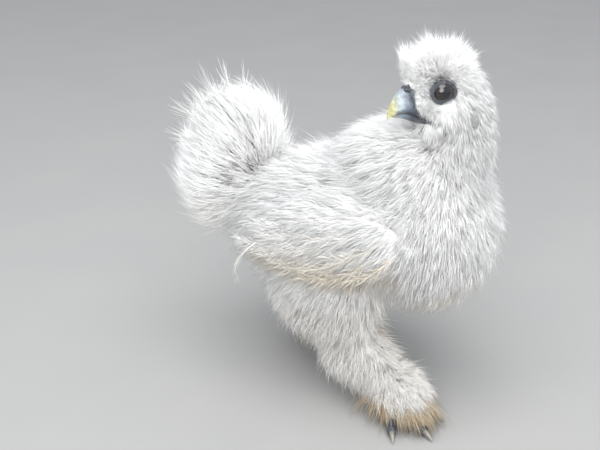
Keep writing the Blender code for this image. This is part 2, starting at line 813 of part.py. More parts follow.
def crest_plumes():
    """Loose plumes that rise from the crown, arch over and fall outwards to a round puff."""
    made = []
    rise = np.array((0.0, 0.0, 1.0))
    for k in range(CREST_COUNT):
        lean = math.acos(1.0 - 1.15 * (k + 0.5) / CREST_COUNT)
        out = head_way(math.cos(k * GOLDEN_ANGLE), math.sin(k * GOLDEN_ANGLE), 0.0)
        base = head_point(-0.001, 0.0, CREST_ROOT_UP) + out * 0.007 * math.sin(lean)
        reach = 1.0 + 0.05 * math.sin(3.1 * k)
        tip = head_point(-0.001, 0.0, CREST_PUFF_UP) + reach * (
            out * CREST_PUFF[0] * math.sin(lean) + rise * CREST_PUFF[1] * math.cos(lean)
        )
        bend = (base + tip) / 2 + rise * CREST_ARCH * math.sin(lean)
        path = [base * (1 - run) ** 2 + bend * 2 * run * (1 - run) + tip * run**2 for run in VANE_SHARES]
        face = rise * math.sin(lean) - out * math.cos(lean)
        widths = [CREST_WIDTH * part for part in CREST_WIDTHS]
        thicks = [CREST_THICK, CREST_THICK, CREST_THICK * 0.8, CREST_THICK * 0.5, LEAST_THICK]
        made.append(ribbon("plume", path, [face] * len(path), widths, thicks))
    return made


def build_head(plumage, skin, horn, eye_black, comb_skin):
    head = star_solid("head", HEAD_AT, 0.045, 24, 14)
    crest = star_solid("crest", head_point(0, 0, 0.0190), 0.035, 16, 9, height=crest_height)
    upper = bill_half("upper", UPPER_BILL, UPPER_TIP)
    lower = bill_half("lower", LOWER_BILL, LOWER_TIP)
    nostrils = [
        ball("nostril", head_point(0.0262, side * 0.0066, -0.0010), (0.0022, 0.0014, 0.0011), HEAD_TURN, 6, 4)
        for side in (1, -1)
    ]
    bill_rooms = [grown(upper) for _ in range(3)]
    combine(upper, nostrils, "DIFFERENCE")
    combine(lower, [bill_rooms.pop()], "DIFFERENCE")
    keep_largest(upper)
    keep_largest(lower)

    eyes, lids = {}, []
    for name, side in (("left", 1), ("right", -1)):
        facing = head_way(0.15, side, 0.05)
        rim = on_form(head_point(EYE_AHEAD, 0.0, EYE_UP), head_way(0.0, side, 0.0))
        eyes[name] = ball("eye", rim - facing * EYE_SUNK, (EYE_RADIUS,) * 3, None, 12, 6)
        lids.append(ring_about("lid", rim, facing, LID_RADIUS, LID_THICK))

    combs = [
        ball("comb", head_point(0.0235 - 0.0045 * k, side * 0.0022, 0.0070 + 0.0030 * k), COMB_BEAD, None, 6, 4)
        for k in range(2)
        for side in (1, -1)
    ]
    comb = combine(combs[0], combs[1:], "UNION")
    combine(comb, [bill_rooms.pop()], "DIFFERENCE")
    wattles = {}
    lobes = {}
    for name, side in (("left", 1), ("right", -1)):
        wattles[name] = ball("wattle", head_point(0.011, side * 0.0062, -0.0285), WATTLE_SIZE, HEAD_TURN, 8, 6)
        ear = on_form(head_point(-0.011, 0.0, -0.0125), head_way(0.0, side, 0.0))
        lobes[name] = ball("lobe", ear, LOBE_SIZE, HEAD_TURN, 8, 6)
    combine(head, lids, "UNION")
    small = [*eyes.values(), comb, lower, *wattles.values(), *lobes.values()]
    rooms = bill_rooms + [grown(piece) for piece in small]
    combine(head, rooms + trims("head"), "DIFFERENCE")
    combine(crest, crest_plumes(), "UNION")
    combine(crest, [grown(comb)] + trims("crest"), "DIFFERENCE")
    neck_rooms = [grown(piece) for piece in (*wattles.values(), *lobes.values())]
    finish_node(keep_largest(head), "head", plumage)
    finish_node(keep_largest(crest), "crest", plumage)
    finish_node(keep_largest(comb), "comb", comb_skin)
    finish_node(upper, "bill_upper", horn)
    finish_node(lower, "bill_lower", horn)
    for name, eye in eyes.items():
        finish_node(eye, "eye_" + name, eye_black)
        finish_node(wattles[name], "wattle_" + name, comb_skin)
        finish_node(lobes[name], "ear_lobe_" + name, skin)
    return neck_rooms


def build_neck(coats, plumage, rooms):
    neck = star_solid("neck", (0.096, 0.0, 0.205), 0.06, 20, 12)
    combine(neck, coats["neck"], "UNION")
    combine(neck, rooms + trims("neck"), "DIFFERENCE")
    finish_node(keep_largest(neck), "neck", plumage)


def build_torso(coats, plumage, rooms):
    torso = star_solid("torso", (0.040, 0.0, 0.145), 0.12, 24, 14)
    combine(torso, coats["torso"], "UNION")
    combine(torso, rooms + trims("torso"), "DIFFERENCE")
    finish_node(keep_largest(torso), "torso", plumage)


# Tail feathers: count, half spread of the fan in degrees, length, lean back in degrees, width
TAIL_TIERS = (
    (5, 52, 0.060, 38, 0.0230),
    (4, 36, 0.066, 16, 0.0230),
)
TAIL_ROOT = np.array((-0.074, 0.0008, 0.170))
TAIL_THICK = 0.0028
TAIL_STEP = 0.0016
TAIL_BEND = 0.007


def tail_feathers():
    """Two fans of short soft tail feathers that show at the top of the cushion, each over the next."""
    made = []
    for count, half_fan, length, lean, width in TAIL_TIERS:
        back = math.radians(lean)
        middle_way = np.array((-math.sin(back), 0.0, math.cos(back)))
        front = np.array((math.cos(back), 0.0, math.sin(back)))
        for k in range(count):
            angle = math.radians(half_fan * (2 * k / (count - 1) - 1))
            way = middle_way * math.cos(angle) + np.array((0.0, math.sin(angle), 0.0))
            root = TAIL_ROOT + front * TAIL_STEP * k
            path = [root + way * length * run - front * TAIL_BEND * run**2 for run in VANE_SHARES]
            widths = [width * part for part in VANE_WIDTHS]
            thicks = [TAIL_THICK, TAIL_THICK, TAIL_THICK * 0.8, TAIL_THICK * 0.5, LEAST_THICK]
            tilt = front + 0.25 * np.array((0.0, math.cos(angle), -math.sin(angle)))
            made.append(ribbon("tail feather", path, [tilt] * len(path), widths, thicks))
    return made


def build_tail(coats, plumage):
    tail = star_solid("tail", (-0.078, 0.0, 0.165), 0.09, 16, 10)
    combine(tail, coats["tail"] + tail_feathers(), "UNION")
    combine(tail, trims("tail"), "DIFFERENCE")
    finish_node(keep_largest(tail), "tail", plumage)


def main():
    for old in list(bpy.data.objects):
        bpy.data.objects.remove(old)
    plumage = material("white_plumage", (0.86, 0.85, 0.82), 0.85)
    skin = material("slate_skin", (0.10, 0.12, 0.15), 0.6)
    comb_skin = material("comb_skin", (0.09, 0.08, 0.10), 0.6)
    horn = material("slate_horn", (0.20, 0.25, 0.30), 0.4)
    eye_black = material("eye_black", (0.01, 0.01, 0.01), 0.1)
    coats = all_coats()
    neck_rooms = build_head(plumage, skin, horn, eye_black, comb_skin)
    build_neck(coats, plumage, neck_rooms)
    torso_rooms = build_wings(plumage)
    build_torso(coats, plumage, torso_rooms)
    build_tail(coats, plumage)
    build_legs(coats, plumage, skin, horn)


main()
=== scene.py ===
import math

import bpy
import numpy as np
from mathutils import Matrix, Vector
from mathutils.kdtree import KDTree


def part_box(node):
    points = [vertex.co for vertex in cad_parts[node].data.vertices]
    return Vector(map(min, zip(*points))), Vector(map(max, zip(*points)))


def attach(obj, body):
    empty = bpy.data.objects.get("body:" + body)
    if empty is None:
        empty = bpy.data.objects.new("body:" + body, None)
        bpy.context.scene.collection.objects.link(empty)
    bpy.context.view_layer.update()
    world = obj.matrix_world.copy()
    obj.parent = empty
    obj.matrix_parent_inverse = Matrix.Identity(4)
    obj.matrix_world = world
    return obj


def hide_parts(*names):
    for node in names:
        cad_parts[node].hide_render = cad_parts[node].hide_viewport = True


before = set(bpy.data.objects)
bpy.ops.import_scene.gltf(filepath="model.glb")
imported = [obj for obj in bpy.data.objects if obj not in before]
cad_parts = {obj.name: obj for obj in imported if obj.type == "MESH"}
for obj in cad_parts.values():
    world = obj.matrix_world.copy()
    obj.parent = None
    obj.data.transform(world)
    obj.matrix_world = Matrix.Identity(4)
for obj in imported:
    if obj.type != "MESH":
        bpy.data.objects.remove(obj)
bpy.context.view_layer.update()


# Skin
# The hen's own body below its plumage, one closed surface blended from egg shapes. Each egg is drawn out
# to the tips of the plumage, and the skin lies inside it by the depth of down that grows there. It is
# slate grey where it is bare, and white with short underdown elsewhere.

# Each egg: middle, half sizes, yaw and nose-up pitch in degrees, depth of plumage
EGGS = {
    "trunk": ((0.005, 0.0, 0.132), (0.092, 0.070, 0.060), 0, 6, 0.016),
    "breast": ((0.072, 0.0, 0.138), (0.056, 0.062, 0.064), 0, 0, 0.014),
    "cape": ((0.055, 0.0, 0.175), (0.058, 0.052, 0.044), 0, -14, 0.015),
    "neck": ((0.093, 0.0, 0.205), (0.026, 0.026, 0.050), 0, 0, 0.010),
    "head": ((0.0745, -0.0025, 0.2403), (0.0265, 0.0165, 0.0205), 46, 0, 0.005),
    "nape": ((0.0842, 0.0076, 0.2380), (0.0220, 0.0205, 0.0210), 46, 0, 0.008),
    "cushion": ((-0.085, 0.0, 0.166), (0.042, 0.055, 0.063), 0, -12, 0.026),
    "thigh_right": ((0.010, -0.038, 0.088), (0.048, 0.030, 0.042), 0, 0, 0.015),
    "hock_right": ((0.031, -0.036, 0.047), (0.031, 0.024, 0.034), 0, 0, 0.016),
    "shank_right": ((0.051, -0.038, 0.036), (0.024, 0.021, 0.022), 0, -30, 0.012),
    "foot_right": ((0.070, -0.040, 0.021), (0.031, 0.024, 0.021), -30, 0, 0.012),
    "thigh_left": ((-0.013, 0.038, 0.086), (0.048, 0.030, 0.042), 0, 0, 0.015),
    "hock_left": ((-0.035, 0.038, 0.047), (0.031, 0.024, 0.034), 0, 0, 0.016),
    "shank_left": ((-0.024, 0.041, 0.036), (0.024, 0.021, 0.022), 0, -30, 0.012),
    "foot_left": ((-0.011, 0.044, 0.021), (0.031, 0.024, 0.021), 12, 0, 0.012),
    "wing_right": ((0.021, -0.0545, 0.141), (0.062, 0.017, 0.030), 0, 5, 0.009),
    "wing_left": ((0.021, 0.0545, 0.141), (0.062, 0.017, 0.030), 0, 5, 0.009),
}
EGG_NAMES = list(EGGS)

# How far the eggs, and the depth and lie of the plumage on them, run into each other
BLEND = 0.005
COAT_BLEND = 0.012
SKIN_VOXEL = 0.0017
SLATE = (0.060, 0.072, 0.090, 1.0)
PALE_SLATE = (0.16, 0.18, 0.20, 1.0)
UNDERDOWN = (0.86, 0.85, 0.83, 1.0)
PALE_UNDERDOWN = (0.92, 0.91, 0.89, 1.0)

# The head: middle of the skull, the way the bill points, and where the head gives way to the breast
HEAD_AT = np.array((0.0745, -0.0025, 0.2403))
HEAD_HEADING = math.radians(-134)
HEAD_EDGE = (0.031, 0.038)

# The face, where the plumage is short: its back, lower and upper edge from the skull's middle, its depth
FACE_BACK = (-0.008, 0.004)
FACE_FOOT = (-0.040, -0.030)
FACE_TOP = (0.010, 0.016)
FACE_DEPTH = 0.0022

# Bare spots on each side of the head: forward and up of the skull's middle, half sizes, and how bare
BARE_SPOTS = (
    (0.0050, 0.0040, 0.0094, 0.0084, 1.0),
    (0.0145, 0.0014, 0.0052, 0.0034, 0.70),
    (-0.0110, -0.0125, 0.0030, 0.0044, 0.45),
    (0.0180, -0.0225, 0.0050, 0.0030, 0.75),
)
BARE_SPOT_EDGE = (0.80, 1.15)
BARE_BACK = (-0.020, -0.014)

# The bare corner of the mouth, forward and up of the skull's middle, and the bare front of the face
GAPE = ((0.0080, -0.0185), (0.0160, -0.0120))
GAPE_EDGE = (0.0018, 0.0032)
BILL_BASE = (0.0180, 0.0215)
BILL_BASE_TOP = (0.004, 0.008)

# The parting down the throat, where the plumage is thin and the skin shows: its line, its edge, how bare
# it is at least, how much barer at the top, and the height at which it gets barer
PARTING = (
    (0.0870, -0.0223, 0.2213),
    (0.0889, -0.0237, 0.2083),
    (0.0870, -0.0168, 0.1931),
    (0.0907, -0.0284, 0.1752),
)
PARTING_EDGE = (0.0016, 0.0052)
PARTING_BARE = (0.55, 0.40)
PARTING_TOP = (0.196, 0.206)


def turned(yaw, pitch):
    """Turn about Z by yaw after tipping the front up by pitch, both in degrees."""
    return np.array(
        Matrix.Rotation(math.radians(yaw), 3, "Z") @ Matrix.Rotation(math.radians(-pitch), 3, "Y")
    )


egg_middles = np.array([egg[0] for egg in EGGS.values()])
egg_sizes = np.array([egg[1] for egg in EGGS.values()])
egg_turns = np.array([turned(egg[2], egg[3]) for egg in EGGS.values()])
egg_coats = np.array([egg[4] for egg in EGGS.values()])
HEAD_AXES = np.array(
    (
        (math.cos(HEAD_HEADING), math.sin(HEAD_HEADING), 0.0),
        (-math.sin(HEAD_HEADING), math.cos(HEAD_HEADING), 0.0),
        (0.0, 0.0, 1.0),
    )
)


def head_point(forward, left, up):
    """A place on the head, from the middle of the skull."""
    return HEAD_AT + np.array((forward, left, up)) @ HEAD_AXES


def head_way(forward, left, up):
    """A way from the head, of length 1."""
    return unit(np.array((forward, left, up)) @ HEAD_AXES)


def on_head(points):
    """How far forward, left and up of the middle of the skull each point lies."""
    return (points - HEAD_AT) @ HEAD_AXES.T


def ramp(values, low, high):
    """A smooth rise from 0 at low to 1 at high."""
    share = np.clip((values - low) / (high - low), 0.0, 1.0)
    return share * share * (3.0 - 2.0 * share)


def unit(ways):
    return ways / np.maximum(np.linalg.norm(ways, axis=-1, keepdims=True), 1e-12)


def distances(points):
    """How far each point lies outside each egg, about."""
    local = np.einsum("nkj,kji->nki", points[:, None, :] - egg_middles[None], egg_turns)
    near = np.linalg.norm(local / egg_sizes, axis=2)
    steep = np.linalg.norm(local / egg_sizes**2, axis=2)
    return near * (near - 1.0) / np.maximum(steep, 1e-9)


def near_head(points):
    """1 on the head, falling to 0 before the breast in front of the bill."""
    return 1.0 - ramp(np.linalg.norm(points - HEAD_AT, axis=1), *HEAD_EDGE)


def face_share(points):
    """1 on the face, where the down is short, and 0 away from it."""
    forward, left, up = on_head(points).T
    face = ramp(forward, *FACE_BACK) * ramp(up, *FACE_FOOT) * (1.0 - ramp(up, *FACE_TOP))
    return face * near_head(points)


def from_line(points, line):
    """How far each point lies from a line of a few points."""
    line = np.array(line)
    away = []
    for start, end in zip(line[:-1], line[1:]):
        along = end - start
        share = np.clip(((points - start) @ along) / (along @ along), 0.0, 1.0)
        away.append(np.linalg.norm(points - start - share[:, None] * along, axis=1))
    return np.min(away, axis=0)


def bareness(points):
    """How bare the skin is: 1 round the eyes and at the corners of the bill, 0 under full plumage."""
    forward, left, up = on_head(points).T
    bare = np.zeros(len(points))
    for ahead, high, half_ahead, half_high, amount in BARE_SPOTS:
        away = np.hypot((forward - ahead) / half_ahead, (up - high) / half_high)
        bare = np.maximum(bare, amount * (1.0 - ramp(away, *BARE_SPOT_EDGE)))
    gape = from_line(np.stack((forward, up), axis=1), GAPE)
    bare = np.maximum(bare, 1.0 - ramp(gape, *GAPE_EDGE))
    bare = np.maximum(bare, ramp(forward, *BILL_BASE) * (1.0 - ramp(up, *BILL_BASE_TOP)))
    bare *= near_head(points) * ramp(forward, *BARE_BACK)
    least, more = PARTING_BARE
    folds = least + more * ramp(points[:, 2], *PARTING_TOP)
    return np.maximum(bare, folds * (1.0 - ramp(from_line(points, PARTING), *PARTING_EDGE)))


def levels(points):
    """Height above the tips of the plumage, and the plumage's depth, at each point."""
    away = distances(points)
    least = away.min(axis=1)
    height = least - BLEND * np.log(np.exp((least[:, None] - away) / BLEND).sum(axis=1))
    weight = np.exp((least[:, None] - away) / COAT_BLEND)
    depth = (weight * egg_coats).sum(axis=1) / weight.sum(axis=1)
    face = face_share(points)
    return height, depth * (1.0 - face) + FACE_DEPTH * face


def above_skin(points):
    height, depth = levels(points)
    return height + depth


def outwards(points, step=0.0006):
    """The way straight out of the skin at each point, from the slope over a short step."""
    slope = np.stack(
        [above_skin(points + step * axis) - above_skin(points - step * axis) for axis in np.eye(3)], axis=1
    )
    return unit(slope)


def onto_skin(points, turns=4):
    """Draws the points onto the skin, a little less than all the way in each turn."""
    for _ in range(turns):
        points = points - above_skin(points)[:, None] * outwards(points) * 0.9
    return points


def deselect():
    if bpy.context.object and bpy.context.object.mode != "OBJECT":
        bpy.ops.object.mode_set(mode="OBJECT")
    bpy.ops.object.select_all(action="DESELECT")


def only(piece):
    """Makes the piece the one selected and active object."""
    deselect()
    piece.select_set(True)
    bpy.context.view_layer.objects.active = piece
    return piece


def set_in_place(piece):
    only(piece)
    bpy.ops.object.transform_apply(location=True, rotation=True, scale=True)
    return piece


def apply(piece, kind, **values):
    """Adds one modifier with its values and applies it."""
    only(piece)
    modifier = piece.modifiers.new(kind.title(), kind)
    for name, value in values.items():
        setattr(modifier, name, value)
    bpy.ops.object.modifier_apply(modifier=modifier.name)
    return piece


def joined(pieces, name):
    """Several pieces made one object."""
    deselect()
    for piece in pieces:
        piece.select_set(True)
    bpy.context.view_layer.objects.active = pieces[0]
    if len(pieces) > 1:
        bpy.ops.object.join()
    made = bpy.context.object
    made.name = name
    made.data.name = name
    return made


def places_of(piece):
    found = np.empty(len(piece.data.vertices) * 3)
    piece.data.vertices.foreach_get("co", found)
    return found.reshape(-1, 3)


def move_to(piece, places):
    piece.data.vertices.foreach_set("co", np.ascontiguousarray(places, dtype=np.float32).ravel())
    piece.data.update()


def paint(piece, label, values):
    """Keeps one number at each point of the piece, for its material to read."""
    stored = piece.data.attributes.new(label, "FLOAT", "POINT")
    stored.data.foreach_set("value", np.ascontiguousarray(values, dtype=np.float32))


def new_material(name, roughness, **inputs):
    """A material with the constants of its shader set, and its node tree and shader."""
    look = bpy.data.materials.new(name)
    look.use_nodes = True
    shader = look.node_tree.nodes["Principled BSDF"]
    shader.inputs["Roughness"].default_value = roughness
    for label, value in inputs.items():
        shader.inputs[label.replace("_", " ")].default_value = value
    return look, look.node_tree, shader


def add_node(tree, kind, settings=(), inputs=()):
    made = tree.nodes.new(kind)
    for label, value in dict(settings).items():
        setattr(made, label, value)
    for label, value in dict(inputs).items():
        made.inputs[label].default_value = value
    return made


def mix_colours(tree, factor, first, second, blend="MIX"):
    """A colour mix. Each of its three inputs is a socket or a plain value."""
    mix = add_node(tree, "ShaderNodeMix", {"data_type": "RGBA", "blend_type": blend})
    sockets = [mix.inputs[0], mix.inputs[6], mix.inputs[7]]
    for socket, value in zip(sockets, (factor, first, second)):
        if isinstance(value, bpy.types.NodeSocket):
            tree.links.new(value, socket)
        else:
            socket.default_value = value
    return mix.outputs[2]


def painted(tree, label):
    return add_node(tree, "ShaderNodeAttribute", {"attribute_name": label}).outputs["Fac"]


def spread_of(tree, value, low, high, to_low=0.0, to_high=1.0):
    """The value mapped from one range to another, smoothly."""
    mapped = add_node(
        tree,
        "ShaderNodeMapRange",
        {"interpolation_type": "SMOOTHSTEP"},
        {"From Min": low, "From Max": high, "To Min": to_low, "To Max": to_high},
    )
    tree.links.new(value, mapped.inputs["Value"])
    return mapped.outputs["Result"]


def noise(tree, scale, detail=4.0):
    """Noise that stays with the piece, at a number of waves a metre."""
    place = add_node(tree, "ShaderNodeTexCoord").outputs["Object"]
    made = add_node(tree, "ShaderNodeTexNoise", {}, {"Scale": scale, "Detail": detail})
    tree.links.new(place, made.inputs["Vector"])
    return made.outputs["Fac"]


def bump(tree, shader, height, strength, distance):
    """Raises the surface of the shader by the height."""
    made = add_node(tree, "ShaderNodeBump", {}, {"Strength": strength, "Distance": distance})
    tree.links.new(height, made.inputs["Height"])
    tree.links.new(made.outputs["Normal"], shader.inputs["Normal"])


deselect()
eggs = []
for middle, sizes, yaw, pitch, depth in EGGS.values():
    bpy.ops.mesh.primitive_uv_sphere_add(segments=48, ring_count=24, radius=1.0, location=middle)
    egg = bpy.context.object
    egg.scale = [size - 0.85 * depth for size in sizes]
    egg.rotation_euler = Matrix(turned(yaw, pitch)).to_euler()
    eggs.append(set_in_place(egg))
skin = joined(eggs, "skin")
apply(skin, "REMESH", mode="VOXEL", voxel_size=SKIN_VOXEL)
move_to(skin, onto_skin(places_of(skin)))
apply(skin, "SMOOTH", factor=0.5, iterations=2)
only(skin)
bpy.ops.object.mode_set(mode="EDIT")
bpy.ops.mesh.select_all(action="SELECT")
bpy.ops.uv.smart_project(angle_limit=math.radians(66), island_margin=0.004)
bpy.ops.object.mode_set(mode="OBJECT")
skin.data.uv_layers.active.name = "OFBake"
skin_places = places_of(skin)
paint(skin, "bare", bareness(skin_places))
skin.data.shade_smooth()

look, tree, shader = new_material("hen skin", 0.7)
mottle = spread_of(tree, noise(tree, 900.0), 0.35, 0.65)
slate = mix_colours(tree, mottle, SLATE, PALE_SLATE)
under = mix_colours(tree, mottle, UNDERDOWN, PALE_UNDERDOWN)
tree.links.new(mix_colours(tree, painted(tree, "bare"), under, slate), shader.inputs["Base Color"])
bump(tree, shader, noise(tree, 700.0), 0.5, 0.0006)
skin.data.materials.append(look)
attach(skin, "root")
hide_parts("torso", "neck", "head", "thigh_right", "thigh_left", "shank_right", "shank_left")


# Down of the body
# A silkie's feathers have no hooks to hold their barbs together, so the coat is loose tufts of long soft
# strands. Each is a thin three-sided blade, rooted in the skin, that bends over along the lie of the coat.
# The plumage is white, a little darker towards the strands' roots as painted shade deep in the coat, and
# soiled cream and brown near the ground and along the wings.

# Rings of a strand of the coat, and of a plume of the crest, wings, tail and feet
RINGS = 2
PLUME_RINGS = 3
TUFT_STRANDS = 7
ROOT_SUNK = 0.0012
SOLE_HEIGHT = 0.003
BARE_CUT = 1.05

# Half the side of a strand's square of the unwrap
PATCH = 0.0015

# Strands: length as a share of their tuft's, width as a share of the coat's, wave as one of the length
STRAND_LENGTHS = (0.62, 1.08)
STRAND_WIDTHS = (0.7, 1.25)
STRAND_WAVE = 0.02

# The place that the plumage of each egg lies away from, and its drop
LIE = {
    "trunk": ((0.115, 0.0, 0.205), (-0.25, 0.0, -0.35)),
    "breast": ((0.095, 0.0, 0.225), (0.0, 0.0, -0.5)),
    "cape": ((0.095, 0.0, 0.235), (-0.3, 0.0, -0.1)),
    "neck": ((0.080, 0.0, 0.262), (0.0, 0.0, -0.6)),
    "head": (tuple(head_point(0.034, 0.0, -0.004)), (0.0, 0.0, -0.1)),
    "nape": (tuple(head_point(0.028, 0.0, 0.012)), (0.0, 0.0, -0.7)),
    "cushion": ((-0.035, 0.0, 0.130), (-0.2, 0.0, 0.0)),
    "thigh_right": ((0.020, -0.020, 0.180), (-0.1, 0.0, -0.5)),
    "hock_right": ((0.020, -0.030, 0.130), (0.0, 0.0, -0.5)),
    "shank_right": ((0.035, -0.032, 0.085), (0.1, -0.05, -0.4)),
    "foot_right": ((0.045, -0.034, 0.055), (0.2, -0.1, -0.3)),
    "thigh_left": ((-0.002, 0.020, 0.180), (-0.1, 0.0, -0.5)),
    "hock_left": ((-0.046, 0.032, 0.130), (0.0, 0.0, -0.5)),
    "shank_left": ((-0.040, 0.036, 0.085), (0.15, 0.02, -0.4)),
    "foot_left": ((-0.038, 0.038, 0.055), (0.3, 0.05, -0.3)),
    "wing_right": ((0.090, -0.045, 0.165), (-0.5, 0.0, -0.1)),
    "wing_left": ((0.090, 0.045, 0.165), (-0.5, 0.0, -0.1)),
}
lie_sources = np.array([lie[0] for lie in LIE.values()])
lie_drops = np.array([lie[1] for lie in LIE.values()])


def lie_of_coat(points, normals):
    """The way that the plumage lies at each point, along the skin."""
    away = distances(points)
    weight = np.exp((away.min(axis=1)[:, None] - away) / COAT_BLEND)
    ways = unit(points[:, None, :] - lie_sources[None]) + lie_drops[None]
    ways = (weight[:, :, None] * ways).sum(axis=1)
    return unit(ways - (ways * normals).sum(axis=1)[:, None] * normals)


skin.data.calc_loop_triangles()
triangle_count = len(skin.data.loop_triangles)
skin_triangles = np.empty(triangle_count * 3, dtype=np.int32)
skin.data.loop_triangles.foreach_get("vertices", skin_triangles)
skin_triangles = skin_triangles.reshape(-1, 3)
skin_loops = np.empty(triangle_count * 3, dtype=np.int32)
skin.data.loop_triangles.foreach_get("loops", skin_loops)
skin_unwrap = np.empty(len(skin.data.loops) * 2)
skin.data.uv_layers["OFBake"].data.foreach_get("uv", skin_unwrap)
skin_unwrap = skin_unwrap.reshape(-1, 2)[skin_loops.reshape(-1, 3)]
corner = skin_places[skin_triangles]
triangle_middles = corner.mean(axis=1)
triangle_sides = np.cross(corner[:, 1] - corner[:, 0], corner[:, 2] - corner[:, 0])
triangle_areas = np.linalg.norm(triangle_sides, axis=1) / 2
triangle_egg = distances(triangle_middles).argmin(axis=1)
triangle_cover = np.clip(1.0 - bareness(triangle_middles) * BARE_CUT, 0.0, 1.0)
triangle_cover = triangle_cover * (triangle_middles[:, 2] > SOLE_HEIGHT)
skin_tree = KDTree(triangle_count)
for index, middle in enumerate(triangle_middles):
    skin_tree.insert(middle, index)
skin_tree.balance()


def unwrap_at(points):
    """Where the skin nearest to each point lies on its unwrap."""
    nearest = [skin_tree.find(point)[1] for point in points]
    return skin_unwrap[nearest].mean(axis=1)


def pick_roots(draw, count, cover):
    """Seeded places on the skin, as many as its cover asks, and where they lie on its unwrap."""
    chance = cover * triangle_areas
    picked = draw.choice(triangle_count, size=count, p=chance / chance.sum())
    mix = draw.dirichlet((1.0, 1.0, 1.0), count)
    places = (corner[picked] * mix[:, :, None]).sum(axis=1)
    unwrap = (skin_unwrap[picked] * mix[:, :, None]).sum(axis=1)
    return places, unwrap


def blades(name, paths, fronts, widths, unwrap, tone, stain):
    """One mesh of thin blades along the paths, each closed, with its patch of the unwrap and its tints."""
    count, rings = paths.shape[0], paths.shape[1] - 1
    along = np.gradient(paths, axis=1)
    across = unit(np.cross(along, fronts[:, None, :]))
    front = unit(np.cross(across, along))
    share = np.linspace(0.0, 1.0, rings + 1)[:-1]
    # a blade swells a little past its root and runs out to a point
    profile = (0.60 + 1.4 * share * (1.0 - share)) * (1.0 - share**3)
    half = widths[:, None] * profile[None] / 2
    points = np.empty((count, rings * 3 + 1, 3))
    # the three edges: left and right below, and one above
    for side, (over, out) in enumerate(((-1.0, -0.30), (1.0, -0.30), (0.0, 0.60))):
        points[:, side : rings * 3 : 3] = (
            paths[:, :-1] + half[:, :, None] * (over * across[:, :-1] + out * front[:, :-1])
        )
    points[:, -1] = paths[:, -1]
    quads, triangles = [], [(0, 2, 1)]
    for ring in range(rings - 1):
        for side in range(3):
            a = ring * 3 + side
            b = ring * 3 + (side + 1) % 3
            quads.append((a, b, b + 3, a + 3))
    # the tip closes the last ring
    last = (rings - 1) * 3
    triangles += [(last + side, last + (side + 1) % 3, rings * 3) for side in range(3)]
    start = (np.arange(count) * (rings * 3 + 1))[:, None]
    quads, triangles = np.array(quads), np.array(triangles)
    corners = np.concatenate([quads.ravel(), triangles.ravel()])
    corners_all = (start + corners[None]).ravel()
    totals = np.tile(np.concatenate([np.full(len(quads), 4), np.full(len(triangles), 3)]), count)
    mesh = bpy.data.meshes.new(name)
    mesh.vertices.add(points.shape[0] * points.shape[1])
    mesh.vertices.foreach_set("co", points.astype(np.float32).ravel())
    mesh.loops.add(len(corners_all))
    mesh.loops.foreach_set("vertex_index", corners_all.astype(np.int32))
    mesh.polygons.add(len(totals))
    mesh.polygons.foreach_set("loop_start", (np.cumsum(totals) - totals).astype(np.int32))
    mesh.polygons.foreach_set("loop_total", totals.astype(np.int32))
    mesh.update(calc_edges=True)
    local = np.empty((rings * 3 + 1, 2))
    local[:-1, 0] = np.tile((-PATCH, PATCH, 0.0), rings)
    local[:-1, 1] = np.repeat((share - 0.5) * 2 * PATCH, 3)
    local[-1] = (0.0, PATCH)
    where = (unwrap[:, None, :] + local[None]).reshape(-1, 2)[corners_all]
    mesh.uv_layers.new(name="OFBake").data.foreach_set("uv", where.astype(np.float32).ravel())
    mesh.shade_smooth()
    piece = bpy.data.objects.new(name, mesh)
    bpy.context.scene.collection.objects.link(piece)
    paint(piece, "along", np.tile(np.append(np.repeat(share, 3), 1.0), count))
    paint(piece, "tone", np.repeat(tone, rings * 3 + 1))
    paint(piece, "stain", np.repeat(stain, rings * 3 + 1))
    return piece


def tuft_lines(roots, length, lift, pull=0.35, steps=RINGS):
    """The middle line of each tuft: it leaves the skin, then bends over and follows the lie of the coat."""
    normals = outwards(roots)
    way = lie_of_coat(roots, normals)
    line = [roots - normals * ROOT_SUNK]
    place = roots
    for step in range(1, steps + 1):
        share = step / steps
        place = place + way * (length * (0.45 + 0.55 * share) / steps)[:, None]
        height, depth = levels(place)
        out = outwards(place)
        place = place + out * (depth * lift * (1.0 - (1.0 - share) ** 1.8) - height - depth)[:, None]
        way = unit(way + pull * lie_of_coat(place, out))
        way = unit(way - (way * out).sum(axis=1)[:, None] * out)
        line.append(place)
    return np.stack(line, axis=1), normals


def strands_of(draw, lines, normals, each, reach, width, gather, scatter):
    """Strands round the middle line of each tuft, gathered or spread towards its tip."""
    count = len(lines) * each
    owner = np.repeat(np.arange(len(lines)), each)
    path = lines[owner]
    normal = normals[owner]
    way = unit(path[:, -1] - path[:, 0])
    side = unit(np.cross(normal, way))
    ahead = unit(np.cross(side, normal))
    size = np.linalg.norm(path[:, -1] - path[:, 0], axis=1)
    round_tuft = draw.uniform(0.0, 2 * math.pi, count)
    radius = reach * np.sqrt(draw.uniform(0.0, 1.0, count))
    offset = radius[:, None] * (np.cos(round_tuft)[:, None] * side + np.sin(round_tuft)[:, None] * ahead)
    swing = draw.normal(size=(count, 3)) * (scatter * size)[:, None]
    wave = draw.normal(size=(count, 3)) * (STRAND_WAVE * size)[:, None]
    share = np.linspace(0.0, 1.0, path.shape[1])[None, :, None]
    short = draw.uniform(*STRAND_LENGTHS, count)[:, None, None]
    made = path[:, :1] + (path - path[:, :1]) * short
    made = made + offset[:, None] * (1.0 - (1.0 - gather) * share)
    made = made + swing[:, None] * share**1.5 + wave[:, None] * np.sin(share * 5.5)
    widths = width * draw.uniform(*STRAND_WIDTHS, count)
    return made, normal, widths, owner


